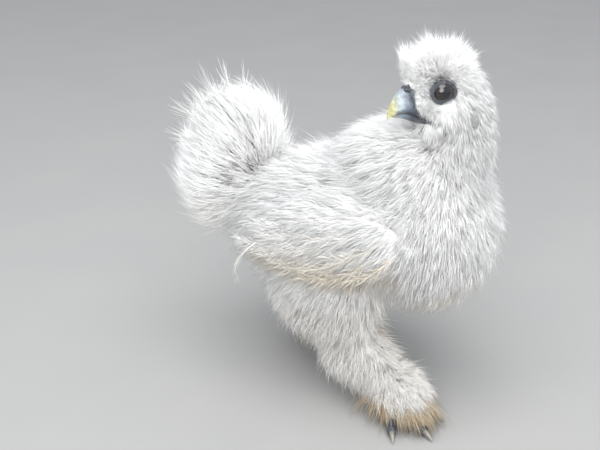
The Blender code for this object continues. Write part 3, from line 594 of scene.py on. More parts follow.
# The clear space in front of an eye: forward and up of the skull's middle, half sizes, half the head's
# breadth and the distance from the skull that it ends at
EYE_SPACE = (0.0050, 0.0040, 0.0080, 0.0072)
EYE_SPACE_BREADTH = 0.040
EYE_SPACE_END = 0.045
FLOOR_GAP = 0.0006


def clear_of_eyes(paths):
    """False for each strand that would hang in front of an eye."""
    forward, left, up = np.moveaxis(on_head(paths), 2, 0)
    ahead, high, half_ahead, half_high = EYE_SPACE
    over = np.hypot((forward - ahead) / half_ahead, (up - high) / half_high) < 1.0
    over &= np.abs(left) < EYE_SPACE_BREADTH
    over &= np.linalg.norm(paths - HEAD_AT, axis=2) < EYE_SPACE_END
    return ~over.any(axis=1)


def keep_off_floor(paths):
    paths[:, :, 2] = np.maximum(paths[:, :, 2], FLOOR_GAP)
    return paths


# Stains, and the cream tint that darkens the underside: how strong each is, and between which two heights
# or distances it fades out
FOOT_STAIN = (0.55, 0.004, 0.030)
HOCK_STAIN = (0.20, 0.030, 0.075)
# The underside is tinted cream and darker towards the bottom of the body and between the legs.
UNDERSIDE_TINT = (0.25, 0.075, 0.110)
BELLY_TINT = (0.70, 0.085, 0.120)
BELLY_SIDES = (0.020, 0.050)
VENT_STAIN = (0.40, 0.125, 0.160)
VENT_FRONT = (-0.115, -0.060)

# The stain along a wing's lower edge: its lowest point, its slope, and where it starts and ends
WING_STAIN = (0.85, 0.004, 0.016)
WING_STAIN_LOWEST = (0.040, 0.112)
WING_STAIN_SLOPE = 0.10
WING_STAIN_INSIDE = (0.042, 0.052)
WING_STAIN_FRONT = (0.060, 0.080)
WING_STAIN_BACK = (-0.060, -0.030)


def faded(values, stain):
    """A stain at its full strength below its first value, and gone above its second."""
    strength, low, high = stain
    return strength * (1.0 - ramp(values, low, high))


def soil(points):
    """How far the white plumage is tinted: soiled at the feet and hocks and along the wings, and cream and
    darker below.
    """
    x, y, z = points.T
    low = faded(z, FOOT_STAIN) + faded(z, HOCK_STAIN)
    # cream and darker towards the bottom of the body, most between the legs
    belly = faded(z, BELLY_TINT) * (1.0 - ramp(np.abs(y), *BELLY_SIDES))
    belly = np.maximum(belly, faded(z, UNDERSIDE_TINT))
    edge_x, edge_z = WING_STAIN_LOWEST
    wing = faded(np.abs(z - edge_z - WING_STAIN_SLOPE * np.abs(x - edge_x)), WING_STAIN)
    wing = wing * ramp(np.abs(y), *WING_STAIN_INSIDE)
    wing = wing * (1.0 - ramp(x, *WING_STAIN_FRONT)) * ramp(x, *WING_STAIN_BACK)
    vent = faded(z, VENT_STAIN) * (1.0 - ramp(x, *VENT_FRONT))
    return np.clip(np.maximum(np.maximum(low, belly), np.maximum(wing, vent)), 0.0, 1.0)


# How far along a strand its root colour lasts (on the white down, painted shade deep in the coat), the
# darkest tuft, and how much of a stain shows
ROOT_COLOUR_END = 0.55
DARKEST_TUFT = 0.94
STAIN_STRENGTH = 0.9


def down_group():
    """Tints a strand from root to tip, lighter or darker as its tuft is, with its share of stain."""
    group = bpy.data.node_groups.new("down tint", "ShaderNodeTree")
    for label in ("Root", "Tip", "Stain"):
        group.interface.new_socket(label, in_out="INPUT", socket_type="NodeSocketColor")
    group.interface.new_socket("Colour", in_out="OUTPUT", socket_type="NodeSocketColor")
    given = group.nodes.new("NodeGroupInput")
    result = group.nodes.new("NodeGroupOutput")
    along = spread_of(group, painted(group, "along"), 0.0, ROOT_COLOUR_END)
    plain = mix_colours(group, along, given.outputs["Root"], given.outputs["Tip"])
    tone = spread_of(group, painted(group, "tone"), 0.0, 1.0, DARKEST_TUFT, 1.0)
    toned = mix_colours(group, 1.0, plain, tone, "MULTIPLY")
    stained = mix_colours(group, STAIN_STRENGTH, toned, given.outputs["Stain"], "MULTIPLY")
    group.links.new(mix_colours(group, painted(group, "stain"), toned, stained), result.inputs["Colour"])
    return group


DOWN_TINT = down_group()


def down_material(name, root, tip, stain, **inputs):
    """A material for plumage, with the colours of its roots, tips and stain."""
    look, tree, shader = new_material(name, 0.8, **inputs)
    tint = add_node(tree, "ShaderNodeGroup", {"node_tree": DOWN_TINT})
    for label, colour in (("Root", root), ("Tip", tip), ("Stain", stain)):
        tint.inputs[label].default_value = (*colour, 1.0)
    tree.links.new(tint.outputs["Colour"], shader.inputs["Base Color"])
    return look


# The white down's strands are painted a little darker at their roots than at their tips: painted shade deep
# in the coat.
SHADED_WHITE_ROOT = (0.92, 0.915, 0.90)
WHITE_TIP = (0.965, 0.96, 0.95)
CREAM_STAIN = (0.80, 0.71, 0.56)
down = down_material(
    "silky down", SHADED_WHITE_ROOT, WHITE_TIP, CREAM_STAIN, Sheen_Weight=0.35, Sheen_Roughness=0.5
)


def finish_coat(piece, look, *nodes):
    """Gives a piece of plumage its material, its body and the nodes that it replaces."""
    piece.data.materials.append(look)
    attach(piece, "root")
    if nodes:
        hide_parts(*nodes)
    return piece


TUFT_LENGTHS = (0.75, 1.2)
TUFT_LIFTS = (0.80, 1.15)
TUFT_STAINS = (0.5, 1.3)

# Middle and spread of the tufts' tones, and the spread of the strands' within them
TUFT_TONE = (0.6, 0.2)
STRAND_TONE = 0.10


def grow(name, seed, on_eggs, tufts, length, width, lift, gather, scatter, reach, half):
    """One piece of the coat, grown on the parts of the skin that lie nearest to the named eggs."""
    draw = np.random.default_rng(seed)
    cover = triangle_cover * np.isin(triangle_egg, [EGG_NAMES.index(egg) for egg in on_eggs])
    if half is not None:
        axis, side, split = half
        cover = cover * ((triangle_middles[:, axis] - split) * side > 0.0)
    roots, unwrap = pick_roots(draw, tufts, cover)
    lengths = length * draw.uniform(*TUFT_LENGTHS, tufts)
    lines, normals = tuft_lines(roots, lengths, lift * draw.uniform(*TUFT_LIFTS, tufts))
    settings = (TUFT_STRANDS, reach, width, gather, scatter)
    paths, fronts, widths, owner = strands_of(draw, lines, normals, *settings)
    tone = draw.normal(*TUFT_TONE, tufts)[owner] + draw.normal(0.0, STRAND_TONE, len(owner))
    stain = soil(paths.mean(axis=1)) * draw.uniform(*TUFT_STAINS, tufts)[owner]
    kept = clear_of_eyes(paths)
    paths = keep_off_floor(paths)[kept]
    tone, stain = np.clip(tone, 0.0, 1.0)[kept], np.clip(stain, 0.0, 1.0)[kept]
    return blades(name, paths, fronts[kept], widths[kept], unwrap[owner][kept], tone, stain)


# The half of the body that a coat keeps to, where it is one of two: axis, side and middle
Y_AXIS = 1
Z_AXIS = 2
CUSHION_SPLIT = 0.160
RIGHT, LEFT = (Y_AXIS, -1, 0.0), (Y_AXIS, 1, 0.0)
LOW, HIGH = (Z_AXIS, -1, CUSHION_SPLIT), (Z_AXIS, 1, CUSHION_SPLIT)

# Each coat: the eggs that it grows on, its tufts, their length, the width of a strand, how near the tips
# come to the full depth of the plumage, how wide the tuft is at its tip and how far its strands stray, as
# shares of its root and length, the radius of its root, and the half of the body
COATS = {
    "coat_flank_right": (("trunk", "cape"), 2200, 0.025, 0.00038, 0.95, 0.90, 0.12, 0.0026, RIGHT),
    "coat_flank_left": (("trunk", "cape"), 2200, 0.025, 0.00038, 0.95, 0.90, 0.12, 0.0026, LEFT),
    "coat_breast": (("breast",), 2200, 0.022, 0.00038, 0.95, 0.90, 0.12, 0.0026, None),
    "coat_cushion_low": (("cushion",), 1350, 0.029, 0.00040, 0.97, 0.90, 0.10, 0.0030, LOW),
    "coat_cushion_high": (("cushion",), 1350, 0.029, 0.00040, 0.97, 0.90, 0.10, 0.0030, HIGH),
    "coat_neck": (("neck", "nape"), 1850, 0.016, 0.00034, 0.95, 0.90, 0.12, 0.0020, None),
    "coat_head": (("head",), 1650, 0.0070, 0.00026, 0.95, 0.95, 0.16, 0.0013, None),
}

# The coats that come in pairs, a right and a left one alike
PAIRED_COATS = {
    "thigh": (("thigh", "hock"), 1350, 0.021, 0.00036, 0.98, 0.85, 0.15, 0.0024),
    "foot": (("foot", "shank"), 900, 0.016, 0.00034, 0.98, 0.90, 0.16, 0.0022),
    "wing": (("wing",), 820, 0.026, 0.00036, 1.00, 0.85, 0.10, 0.0026),
}
for kind, (on_eggs, *settings) in PAIRED_COATS.items():
    for side_name in ("right", "left"):
        side_eggs = [f"{egg}_{side_name}" for egg in on_eggs]
        COATS[f"coat_{kind}_{side_name}"] = (side_eggs, *settings, None)
for seed, (coat_name, settings) in enumerate(COATS.items()):
    finish_coat(grow(coat_name, seed, *settings), down)


# Crest
# The round puff of feathers on the crown. Its plumes stand up and out from the top of the skull to a
# round outline, and droop a little at their ends. A separate tuft rises in front, from behind the comb.
CREST_MIDDLE = head_point(-0.001, 0.0, 0.0180)
CREST_SIZES = np.array((0.0285, 0.0285, 0.0250))
CREST_ROOT = head_point(-0.003, 0.0, 0.0020)
CREST_TUFTS = 1000
CREST_SEED = 40

# The crown, where the crest grows: above and behind these distances from the skull's middle, and near it
CROWN_ABOVE = 0.0050
CROWN_BEHIND = 0.0180
CROWN_NEAR = 0.032

# Plumes: how far their ways stray, their share of the way to the outline, where and how high they bend
PLUME_STRAY = 0.22
PLUME_LENGTHS = (0.84, 1.03)
PLUME_BEND = 0.45
PLUME_ARCH = 0.18

# A plume: how many strands, its radius, a strand's width, its tip as a share of its root, and its stray
PLUME = (TUFT_STRANDS, 0.0020, 0.00036, 1.2, 0.07)

# The front tuft: forward and up of the skull's middle, at its roots and tips, and half its breadth there
FRONT_TUFTS = 80
FRONT_ROOTS = ((0.017, 0.021), 0.0075, 0.006)
FRONT_TIPS = ((0.024, 0.028), (0.026, 0.036), 0.009)


def to_outline(roots, ways):
    """How far it is from each root, along its way, to the round outline of the crest."""
    start = (roots - CREST_MIDDLE) / CREST_SIZES
    way = ways / CREST_SIZES
    square = (way**2).sum(axis=1)
    half_line = (start * way).sum(axis=1)
    rest = (start**2).sum(axis=1) - 1.0
    return (-half_line + np.sqrt(np.maximum(half_line**2 - square * rest, 1e-9))) / square


draw = np.random.default_rng(CREST_SEED)
head_spots = on_head(triangle_middles)
crown = (head_spots[:, 2] > CROWN_ABOVE) & (head_spots[:, 0] < CROWN_BEHIND)
crown &= np.linalg.norm(triangle_middles - HEAD_AT, axis=1) < CROWN_NEAR
roots, unwrap = pick_roots(draw, CREST_TUFTS, crown.astype(float))
ways = unit(unit(roots - CREST_ROOT) + PLUME_STRAY * draw.normal(size=roots.shape))
ways[:, 2] = np.abs(ways[:, 2])
lengths = to_outline(roots, ways)
tips = roots + ways * (lengths * draw.uniform(*PLUME_LENGTHS, CREST_TUFTS))[:, None]

aside = draw.uniform(-1.0, 1.0, FRONT_TUFTS)
root_ahead = draw.uniform(*FRONT_ROOTS[0], FRONT_TUFTS)
root_high = np.full(FRONT_TUFTS, FRONT_ROOTS[1])
tip_ahead = draw.uniform(*FRONT_TIPS[0], FRONT_TUFTS)
tip_high = draw.uniform(*FRONT_TIPS[1], FRONT_TUFTS)
front_roots = HEAD_AT + np.stack((root_ahead, FRONT_ROOTS[2] * aside, root_high), axis=1) @ HEAD_AXES
front_tips = HEAD_AT + np.stack((tip_ahead, FRONT_TIPS[2] * aside, tip_high), axis=1) @ HEAD_AXES
unwrap = np.concatenate((unwrap, unwrap_at(front_roots)))
roots = np.concatenate((roots, front_roots))
tips = np.concatenate((tips, front_tips))
ways = np.concatenate((ways, unit(front_tips - front_roots)))
lengths = np.concatenate((lengths, np.linalg.norm(front_tips - front_roots, axis=1)))

knee = roots + (tips - roots) * PLUME_BEND + np.array((0.0, 0.0, PLUME_ARCH)) * lengths[:, None]
share = np.linspace(0.0, 1.0, PLUME_RINGS + 1)[None, :, None]
lines = (1 - share) ** 2 * roots[:, None] + 2 * share * (1 - share) * knee[:, None]
lines = lines + share**2 * tips[:, None]
paths, fronts, widths, owner = strands_of(draw, lines, ways, *PLUME)
fronts = unit(np.cross(paths[:, -1] - paths[:, 0], draw.normal(size=(len(paths), 3))))
tone = np.clip(draw.normal(*TUFT_TONE, len(roots))[owner], 0.0, 1.0)
kept = clear_of_eyes(paths)
paths, fronts, widths, unwrap = paths[kept], fronts[kept], widths[kept], unwrap[owner][kept]
crest = blades("crest_puff", paths, fronts, widths, unwrap, tone[kept], np.zeros(len(paths)))
finish_coat(crest, down, "crest")


# Wings
# A silkie's wing feathers have a thin quill and long loose barbs, so the small folded wing ends in a
# ragged fringe. Three tiers of them fan back and down over the wing's low dome, each tier over the one
# behind it, and those along the lower edge are cream.
WING_MIDDLE = np.array((0.021, -0.0535, 0.141))
WING_SIZES = np.array((0.062, 0.0165, 0.029))
WING_PITCH = 5
WING_ROLL = math.radians(11)
WING_RISE = 0.0050
WING_SAG = 0.16
DOME_EDGE = 0.8

# Tiers: feathers, first and last root, first and last tip as shares of the wing's half length and half
# height, half a feather's width, and its lift
WING_TIERS = (
    (6, (0.20, -0.45), (-0.62, 0.10), (-0.34, -0.98), (-1.16, -0.18), 0.0064, 0.0020),
    (5, (0.55, -0.30), (-0.15, 0.45), (-0.06, -0.96), (-0.92, 0.30), 0.0066, 0.0040),
    (4, (0.86, -0.10), (0.36, 0.62), (0.34, -0.90), (-0.45, 0.66), 0.0068, 0.0056),
)
FEATHER_POINTS = 10
BARBS = 44
QUILL_WIDTH = 0.00060
BARB_WIDTH = 0.00032
LOOSE = 0.0018

# Barbs: the stretch of the quill that they leave, how far along it and out they run, and their widths
BARB_STRETCH = (0.10, 0.93)
BARB_RUNS = (0.20, 0.36)
BARB_REACH = (0.35, 1.15)
BARB_WIDTHS = (0.7, 1.3)

# The one long feather that hangs from the wing's end: its top on the wing, end, half width, barbs, quill
HANGING_TOP = (-0.86, -0.20, 0.004)
HANGING_END = (-0.050, 0.0640, 0.098)
HANGING_HALF_WIDTH = 0.0016
HANGING_BARBS = 14
HANGING_QUILL = 1.6


def wing_place(side, along, high, out):
    """A place over the wing: shares of its half length and half height, and metres out of its dome."""
    dome = np.sqrt(np.maximum(1.0 - (DOME_EDGE * along) ** 2 - (DOME_EDGE * high) ** 2, 0.0))
    rise = WING_RISE + dome * (WING_SIZES[1] - WING_RISE)
    local = np.stack((along * WING_SIZES[0], side * (rise + out), high * WING_SIZES[2]), axis=-1)
    turn = turned(0, WING_PITCH) @ np.array(Matrix.Rotation(side * WING_ROLL, 3, "X"))
    return local @ turn.T + WING_MIDDLE * np.array((1.0, -side, 1.0))


def feather(draw, shaft, front, half_width, barbs, quill=1.0):
    """A loose feather: its quill, and barbs that leave it on both sides and bend towards its tip."""
    count = len(shaft) - 1
    half_barbs = barbs // 2
    where = np.linspace(0.0, 1.0, count + 1)

    def on_shaft(share):
        share = np.clip(share, 0.0, 1.0)
        return np.stack([np.interp(share, where, shaft[:, axis]) for axis in range(3)], axis=-1)

    along = unit(shaft[-1] - shaft[0])
    across = unit(np.cross(front, along))
    size = np.linalg.norm(shaft[-1] - shaft[0])
    start = np.tile(np.linspace(*BARB_STRETCH, half_barbs), 2) + draw.uniform(-0.02, 0.02, half_barbs * 2)
    side = np.repeat((1.0, -1.0), half_barbs) * draw.uniform(*BARB_REACH, half_barbs * 2)
    run = draw.uniform(*BARB_RUNS, len(start))
    # the vane is widest in its outer half
    out = half_width * side * np.sin(math.pi * np.clip(start * 0.85 + 0.12, 0.0, 1.0)) ** 0.7
    paths = []
    for share in np.linspace(0.0, 1.0, PLUME_RINGS + 1):
        place = on_shaft(start + run * share)
        place = place + (np.clip(start + run * share - 1.0, 0.0, 1.0) * size)[:, None] * along
        paths.append(place + (out * share**0.7)[:, None] * across)
    paths = np.stack(paths, axis=1)
    loose = draw.normal(size=(len(start), 1, 3)) * LOOSE
    paths = paths + loose * np.linspace(0.0, 1.0, PLUME_RINGS + 1)[None, :, None]
    stops = [round(step * count / PLUME_RINGS) for step in range(PLUME_RINGS + 1)]
    quill_line = shaft[stops][None]
    widths = np.full(len(start), BARB_WIDTH) * draw.uniform(*BARB_WIDTHS, len(start))
    widths = np.append(widths, QUILL_WIDTH * quill)
    return np.concatenate((paths, quill_line)), np.tile(front, (len(start) + 1, 1)), widths


def fringe(name, feathers, tone, stain, look, *nodes):
    """Loose feathers joined to one piece of the coat."""
    paths = np.concatenate([made[0] for made in feathers])
    fronts = np.concatenate([made[1] for made in feathers])
    widths = np.concatenate([made[2] for made in feathers])
    owner = np.repeat(np.arange(len(feathers)), [len(made[0]) for made in feathers])
    tone, stain = np.asarray(tone)[owner], np.asarray(stain)[owner]
    piece = blades(name, paths, fronts, widths, unwrap_at(paths[:, 0]), tone, stain)
    return finish_coat(piece, look, *nodes)


WING_SEED = 50
FEATHER_TONE = 0.7
for side_name, side in (("right", -1), ("left", 1)):
    draw = np.random.default_rng(WING_SEED + side)
    out = np.array((0.0, side, 0.10))
    feathers, stains = [], []
    for count, first_root, last_root, first_tip, last_tip, half_width, lift in WING_TIERS:
        for k in range(count):
            share = (k + draw.uniform(-0.2, 0.2)) / (count - 1)
            root = np.array(first_root) * (1 - share) + np.array(last_root) * share
            tip = np.array(first_tip) * (1 - share) + np.array(last_tip) * share
            run = np.linspace(0.0, 1.0, FEATHER_POINTS)
            along, high = root[:, None] * (1 - run) + tip[:, None] * run
            high = high - WING_SAG * np.sin(math.pi * run)
            height = lift * run**0.7 - 0.002 * (1 - run) + 0.0012 * draw.uniform()
            shaft = wing_place(side, along, high, height)
            feathers.append(feather(draw, shaft, out, half_width, BARBS))
            stains.append(0.95 * (1 - share) ** 1.5 + 0.12)
    run = np.linspace(0.0, 1.0, FEATHER_POINTS)[:, None]
    along, high, height = HANGING_TOP
    top = wing_place(side, np.array(along), np.array(high), height)
    end = np.array(HANGING_END) * (1.0, side, 1.0)
    hang = top * (1 - run) + end * run + np.array((-0.006, side * 0.003, 0.0)) * np.sin(math.pi * run)
    feathers.append(feather(draw, hang, out, HANGING_HALF_WIDTH, HANGING_BARBS, HANGING_QUILL))
    stains.append(0.35)
    tones = np.full(len(feathers), FEATHER_TONE)
    fringe("wing_feathers_" + side_name, feathers, tones, stains, down, "wing_" + side_name)


# Tail
# The cushion hides a short fan of soft tail feathers, of which only the loose ends show at its top. They
# are made as the wing's are, in two tiers, with longer barbs.

# Tiers: feathers, half the fan's angle, length, lean back from upright, half a feather's width
TAIL_TIERS = ((5, 52, 0.058, 38, 0.0115), (4, 36, 0.062, 16, 0.0115))
TAIL_ROOT = np.array((-0.079, 0.0008, 0.170))
TAIL_STEP = 0.0016
TAIL_BEND = 0.007
TAIL_BARBS = 64
TAIL_STAIN = 0.06
TAIL_SEED = 60
draw = np.random.default_rng(TAIL_SEED)
feathers = []
for count, half_fan, length, lean, half_width in TAIL_TIERS:
    back = math.radians(lean)
    upright = np.array((-math.sin(back), 0.0, math.cos(back)))
    front = np.array((math.cos(back), 0.0, math.sin(back)))
    for k in range(count):
        angle = math.radians(half_fan * (2 * k / (count - 1) - 1))
        way = upright * math.cos(angle) + np.array((0.0, math.sin(angle), 0.0))
        run = np.linspace(0.0, 1.0, FEATHER_POINTS)[:, None]
        shaft = TAIL_ROOT + front * TAIL_STEP * k + way * length * run - front * TAIL_BEND * run**2
        feathers.append(feather(draw, shaft, front, half_width, TAIL_BARBS))
tones, stains = np.full(len(feathers), FEATHER_TONE), np.full(len(feathers), TAIL_STAIN)
fringe("tail_feathers", feathers, tones, stains, down, "tail")


# Eyes
# Dark brown, nearly black eyes with a wet shine, each a ball that is a little flat in front. It sits in
# its socket to more than half its depth.
EYE_RADIUS = 0.0076
EYE_FLAT = 0.80
EYE_FACING = (0.15, 0.05)

# Where the black pupil gives way to the brown iris, and the iris to the dark rim, as shares of the radius
PUPIL_EDGE = (0.42, 0.50)
IRIS_EDGE = (0.72, 0.88)
PUPIL_BLACK = (0.004, 0.004, 0.005, 1.0)
RIM_BLACK = (0.006, 0.006, 0.008, 1.0)
IRIS_DARK = (0.008, 0.005, 0.004, 1.0)
IRIS_BROWN = (0.018, 0.011, 0.008, 1.0)


def place_on(facing, middle):
    """The matrix that sets a shape made about Z onto a middle, facing a way, its Y axis upright."""
    side = unit(np.cross((0.0, 0.0, 1.0), facing))
    up = np.cross(facing, side)
    turn = Matrix(np.stack((side, up, facing), axis=1).tolist()).to_4x4()
    return Matrix.Translation(Vector(middle)) @ turn


eye_look, tree, shader = new_material("dark eye", 0.06, Coat_Weight=1.0, Coat_Roughness=0.02, IOR=1.38)
iris = spread_of(tree, painted(tree, "ring"), *PUPIL_EDGE)
rim_dark = spread_of(tree, painted(tree, "ring"), *IRIS_EDGE)
brown = mix_colours(tree, noise(tree, 2500.0), IRIS_DARK, IRIS_BROWN)
eye_colour = mix_colours(tree, iris, PUPIL_BLACK, brown)
tree.links.new(mix_colours(tree, rim_dark, eye_colour, RIM_BLACK), shader.inputs["Base Color"])
eye_frames = {}
for side_name, side in (("left", 1), ("right", -1)):
    facing = head_way(EYE_FACING[0], side, EYE_FACING[1])
    low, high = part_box("eye_" + side_name)
    middle = (np.array(low) + np.array(high)) / 2
    deselect()
    bpy.ops.mesh.primitive_uv_sphere_add(segments=48, ring_count=32, radius=EYE_RADIUS)
    eye = bpy.context.object
    eye.name = "eyeball_" + side_name
    points = places_of(eye)
    # the back of the ball is all rim
    paint(eye, "ring", np.hypot(points[:, 0], points[:, 1]) / EYE_RADIUS + (points[:, 2] < 0))
    points[:, 2] *= EYE_FLAT
    move_to(eye, points)
    eye.matrix_world = place_on(facing, middle)
    set_in_place(eye)
    eye.data.shade_smooth()
    eye.data.materials.append(eye_look)
    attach(eye, "root")
    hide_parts("eye_" + side_name)
    eye_frames[side_name] = (facing, middle)


# Eyelids
# Bare slate-grey skin rings the eye: a thin dark rim that lies on the ball, and a fold round it with fine
# wrinkles. Both are less high than long, and drawn out a little to the front and back corners.
LID_OPENING = (0.0071, 0.0064)
LID_CORNER = 0.05

# The rim and the fold: how much wider than the opening, how thick, how far out, and their wrinkles
LID_RINGS = ((0.0, 0.00048, 0.0030, 0.0), (0.0011, 0.00080, 0.0024, 0.00020))
RING_TUBE = 0.001
LID_LIGHT = (0.20, 0.21, 0.23)
LID_DARK = (0.045, 0.050, 0.060)


def skin_group():
    """Mottled bare skin: a colour with darker pores and folds, and the height of its grain."""
    group = bpy.data.node_groups.new("bare skin", "ShaderNodeTree")
    for label in ("Light", "Dark"):
        group.interface.new_socket(label, in_out="INPUT", socket_type="NodeSocketColor")
    group.interface.new_socket("Grain", in_out="INPUT", socket_type="NodeSocketFloat")
    group.interface.new_socket("Colour", in_out="OUTPUT", socket_type="NodeSocketColor")
    group.interface.new_socket("Height", in_out="OUTPUT", socket_type="NodeSocketFloat")
    given = group.nodes.new("NodeGroupInput")
    result = group.nodes.new("NodeGroupOutput")
    place = add_node(group, "ShaderNodeTexCoord").outputs["Object"]
    cells = add_node(group, "ShaderNodeTexVoronoi", {"feature": "DISTANCE_TO_EDGE"})
    cloud = add_node(group, "ShaderNodeTexNoise", {}, {"Detail": 5.0})
    for texture in (cells, cloud):
        group.links.new(place, texture.inputs["Vector"])
        group.links.new(given.outputs["Grain"], texture.inputs["Scale"])
    pores = spread_of(group, cells.outputs["Distance"], 0.0, 0.12)
    patchy = spread_of(group, cloud.outputs["Fac"], 0.35, 0.68)
    mottled = mix_colours(group, patchy, given.outputs["Dark"], given.outputs["Light"])
    group.links.new(mix_colours(group, pores, given.outputs["Dark"], mottled), result.inputs["Colour"])
    height = add_node(group, "ShaderNodeMath", {"operation": "ADD"})
    group.links.new(pores, height.inputs[0])
    group.links.new(cloud.outputs["Fac"], height.inputs[1])
    group.links.new(height.outputs[0], result.inputs["Height"])
    return group


BARE_SKIN = skin_group()
GRAIN_DEPTH = 0.0004


def skin_material(name, light, dark, grain, roughness):
    """A material for bare skin, with its light and dark colours and the grain's waves a metre."""
    look, tree, shader = new_material(name, roughness)
    made = add_node(tree, "ShaderNodeGroup", {"node_tree": BARE_SKIN})
    made.inputs["Light"].default_value = (*light, 1.0)
    made.inputs["Dark"].default_value = (*dark, 1.0)
    made.inputs["Grain"].default_value = grain
    tree.links.new(made.outputs["Colour"], shader.inputs["Base Color"])
    bump(tree, shader, made.outputs["Height"], 0.6, GRAIN_DEPTH)
    return look


lid_look = skin_material("slate eyelid", LID_LIGHT, LID_DARK, 1500.0, 0.55)
for side_name, (facing, middle) in eye_frames.items():
    rings = []
    for wider, thick, out, wrinkle in LID_RINGS:
        deselect()
        bpy.ops.mesh.primitive_torus_add(
            major_radius=1.0, minor_radius=RING_TUBE, major_segments=72, minor_segments=12
        )
        ring = bpy.context.object
        points = places_of(ring)
        around = np.arctan2(points[:, 1], points[:, 0])
        centre = np.stack((np.cos(around), np.sin(around)), axis=1)
        off = np.stack(((points[:, :2] * centre).sum(axis=1) - 1.0, points[:, 2]), axis=1) / RING_TUBE
        long_way = (LID_OPENING[0] + wider) * (1.0 + LID_CORNER * np.abs(np.cos(around)) ** 6)
        high_way = LID_OPENING[1] + wider
        fold = 1.0 + wrinkle / thick * (np.sin(23 * around) + np.sin(37 * around + 1.0)) * 0.5
        path = centre * np.stack((long_way, np.full(len(around), high_way)), axis=1)
        points[:, :2] = path + centre * off[:, :1] * (thick * fold)[:, None]
        points[:, 2] = out + off[:, 1] * thick * fold
        move_to(ring, points)
        ring.matrix_world = place_on(facing, middle)
        rings.append(set_in_place(ring))
    lids = joined(rings, "eyelids_" + side_name)
    lids.data.shade_smooth()
    lids.data.materials.append(lid_look)
    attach(lids, "root")


# Bill
# Two halves of horn over bone. The bill is slate blue at the base, pale blue-grey further out and olive
# yellow at the tip, with a slit of a nostril in a darker patch, and the upper half hooks a little over
# the lower. The slit of the nostril and the line of the mouth between the halves are painted dark as shade.

# Stations: forward of the skull's middle, half width, mouth line, and top or bottom of the half
UPPER_BILL = (
    (0.0100, 0.0115, -0.0175, -0.0040),
    (0.0180, 0.0100, -0.0140, 0.0040),
    (0.0240, 0.0086, -0.0112, 0.0046),
    (0.0290, 0.0068, -0.0110, 0.0022),
    (0.0330, 0.0048, -0.0122, -0.0030),
    (0.0355, 0.0028, -0.0138, -0.0085),
    (0.0368, 0.0006, -0.0160, -0.0150),
)
LOWER_BILL = (
    (0.0100, 0.0108, -0.0180, -0.0226),
    (0.0180, 0.0088, -0.0146, -0.0200),
    (0.0240, 0.0070, -0.0118, -0.0174),
    (0.0290, 0.0052, -0.0116, -0.0160),
    (0.0325, 0.0030, -0.0126, -0.0156),
    (0.0345, 0.0006, -0.0140, -0.0144),
)
BILL_RINGS = 28
BILL_SIDES = 32
TIP_CROWDING = 1.4
BILL_START = 0.010
BILL_RUN = 0.0268

# The nostril, painted dark as shade in its slit, and the darker patch round it: forward and up of the
# skull's middle, half sizes
NOSTRIL = (0.0262, -0.0010, 0.0024, 0.0010)
NOSTRIL_SLOPE = 0.25
NOSTRIL_DEPTH = 0.16
MIDLINE = 0.003
DARK_PATCH = (0.0225, 0.0005, 0.0035, 0.0042)

# The painted shade along the line of the mouth, where the halves meet: how wide it is, and where it ends
# towards the tip
MOUTH_SHADE_EDGE = (0.0002, 0.0011)
MOUTH_SHADE_END = (0.030, 0.035)
MOUTH_BULGE = 0.0006

# Horn colours along the bill, from its base to its tip
HORN_BAND = (
    (0.0, (0.045, 0.052, 0.065)),
    (0.44, (0.075, 0.088, 0.108)),
    (0.58, (0.17, 0.21, 0.26)),
    (0.70, (0.33, 0.39, 0.44)),
    (0.82, (0.42, 0.45, 0.38)),
    (0.91, (0.55, 0.53, 0.26)),
    (1.0, (0.60, 0.56, 0.28)),
)
# The colour of the painted shade in the mouth line and the nostril, and of the darker horn round the
# nostril
SHADE_AND_DARK_HORN = (0.022, 0.024, 0.030, 1.0)


def loft(name, rings):
    """A closed piece through rings of points: a circle, extruded once a ring and then set on the rings."""
    count, around = rings.shape[:2]
    deselect()
    bpy.ops.mesh.primitive_circle_add(vertices=around, radius=1.0, fill_type="NGON")
    piece = bpy.context.object
    piece.name = name
    bpy.ops.object.mode_set(mode="EDIT")
    bpy.ops.mesh.select_all(action="SELECT")
    for _ in range(count - 1):
        bpy.ops.mesh.extrude_region_move(TRANSFORM_OT_translate={"value": (0.0, 0.0, 1.0)})
    bpy.ops.object.mode_set(mode="OBJECT")
    points = places_of(piece)
    ring = np.round(points[:, 2]).astype(int)
    step = np.round(np.arctan2(points[:, 1], points[:, 0]) / (2 * math.pi) * around).astype(int) % around
    move_to(piece, rings[ring, step])
    bpy.ops.object.mode_set(mode="EDIT")
    bpy.ops.mesh.select_all(action="SELECT")
    bpy.ops.mesh.normals_make_consistent(inside=False)
    bpy.ops.object.mode_set(mode="OBJECT")
    return piece


def smooth_stations(stations, count):
    """The stations drawn as one smooth curve, with more rings towards the tip."""
    stations = np.array(stations)
    run = np.append(0.0, np.cumsum(np.linalg.norm(np.diff(stations[:, (0, 3)], axis=0), axis=1)))
    run /= run[-1]
    slope = np.gradient(stations, run, axis=0)
    made = []
    for share in 1.0 - (1.0 - np.linspace(0.0, 1.0, count)) ** TIP_CROWDING:
        k = min(np.searchsorted(run, share, side="right") - 1, len(run) - 2)
        width = run[k + 1] - run[k]
        t = (share - run[k]) / width
        made.append(
            (2 * t**3 - 3 * t**2 + 1) * stations[k]
            + (t**3 - 2 * t**2 + t) * width * slope[k]
            + (3 * t**2 - 2 * t**3) * stations[k + 1]
            + (t**3 - t**2) * width * slope[k + 1]
        )
    return np.array(made)


def nostril_share(forward, up):
    """How far each point lies from the nostril: 0 at its middle and 1 at its edge."""
    ahead, high, half_ahead, half_high = NOSTRIL
    slant = up - high + NOSTRIL_SLOPE * (forward - ahead)
    return np.hypot((forward - ahead) / half_ahead, slant / half_high)


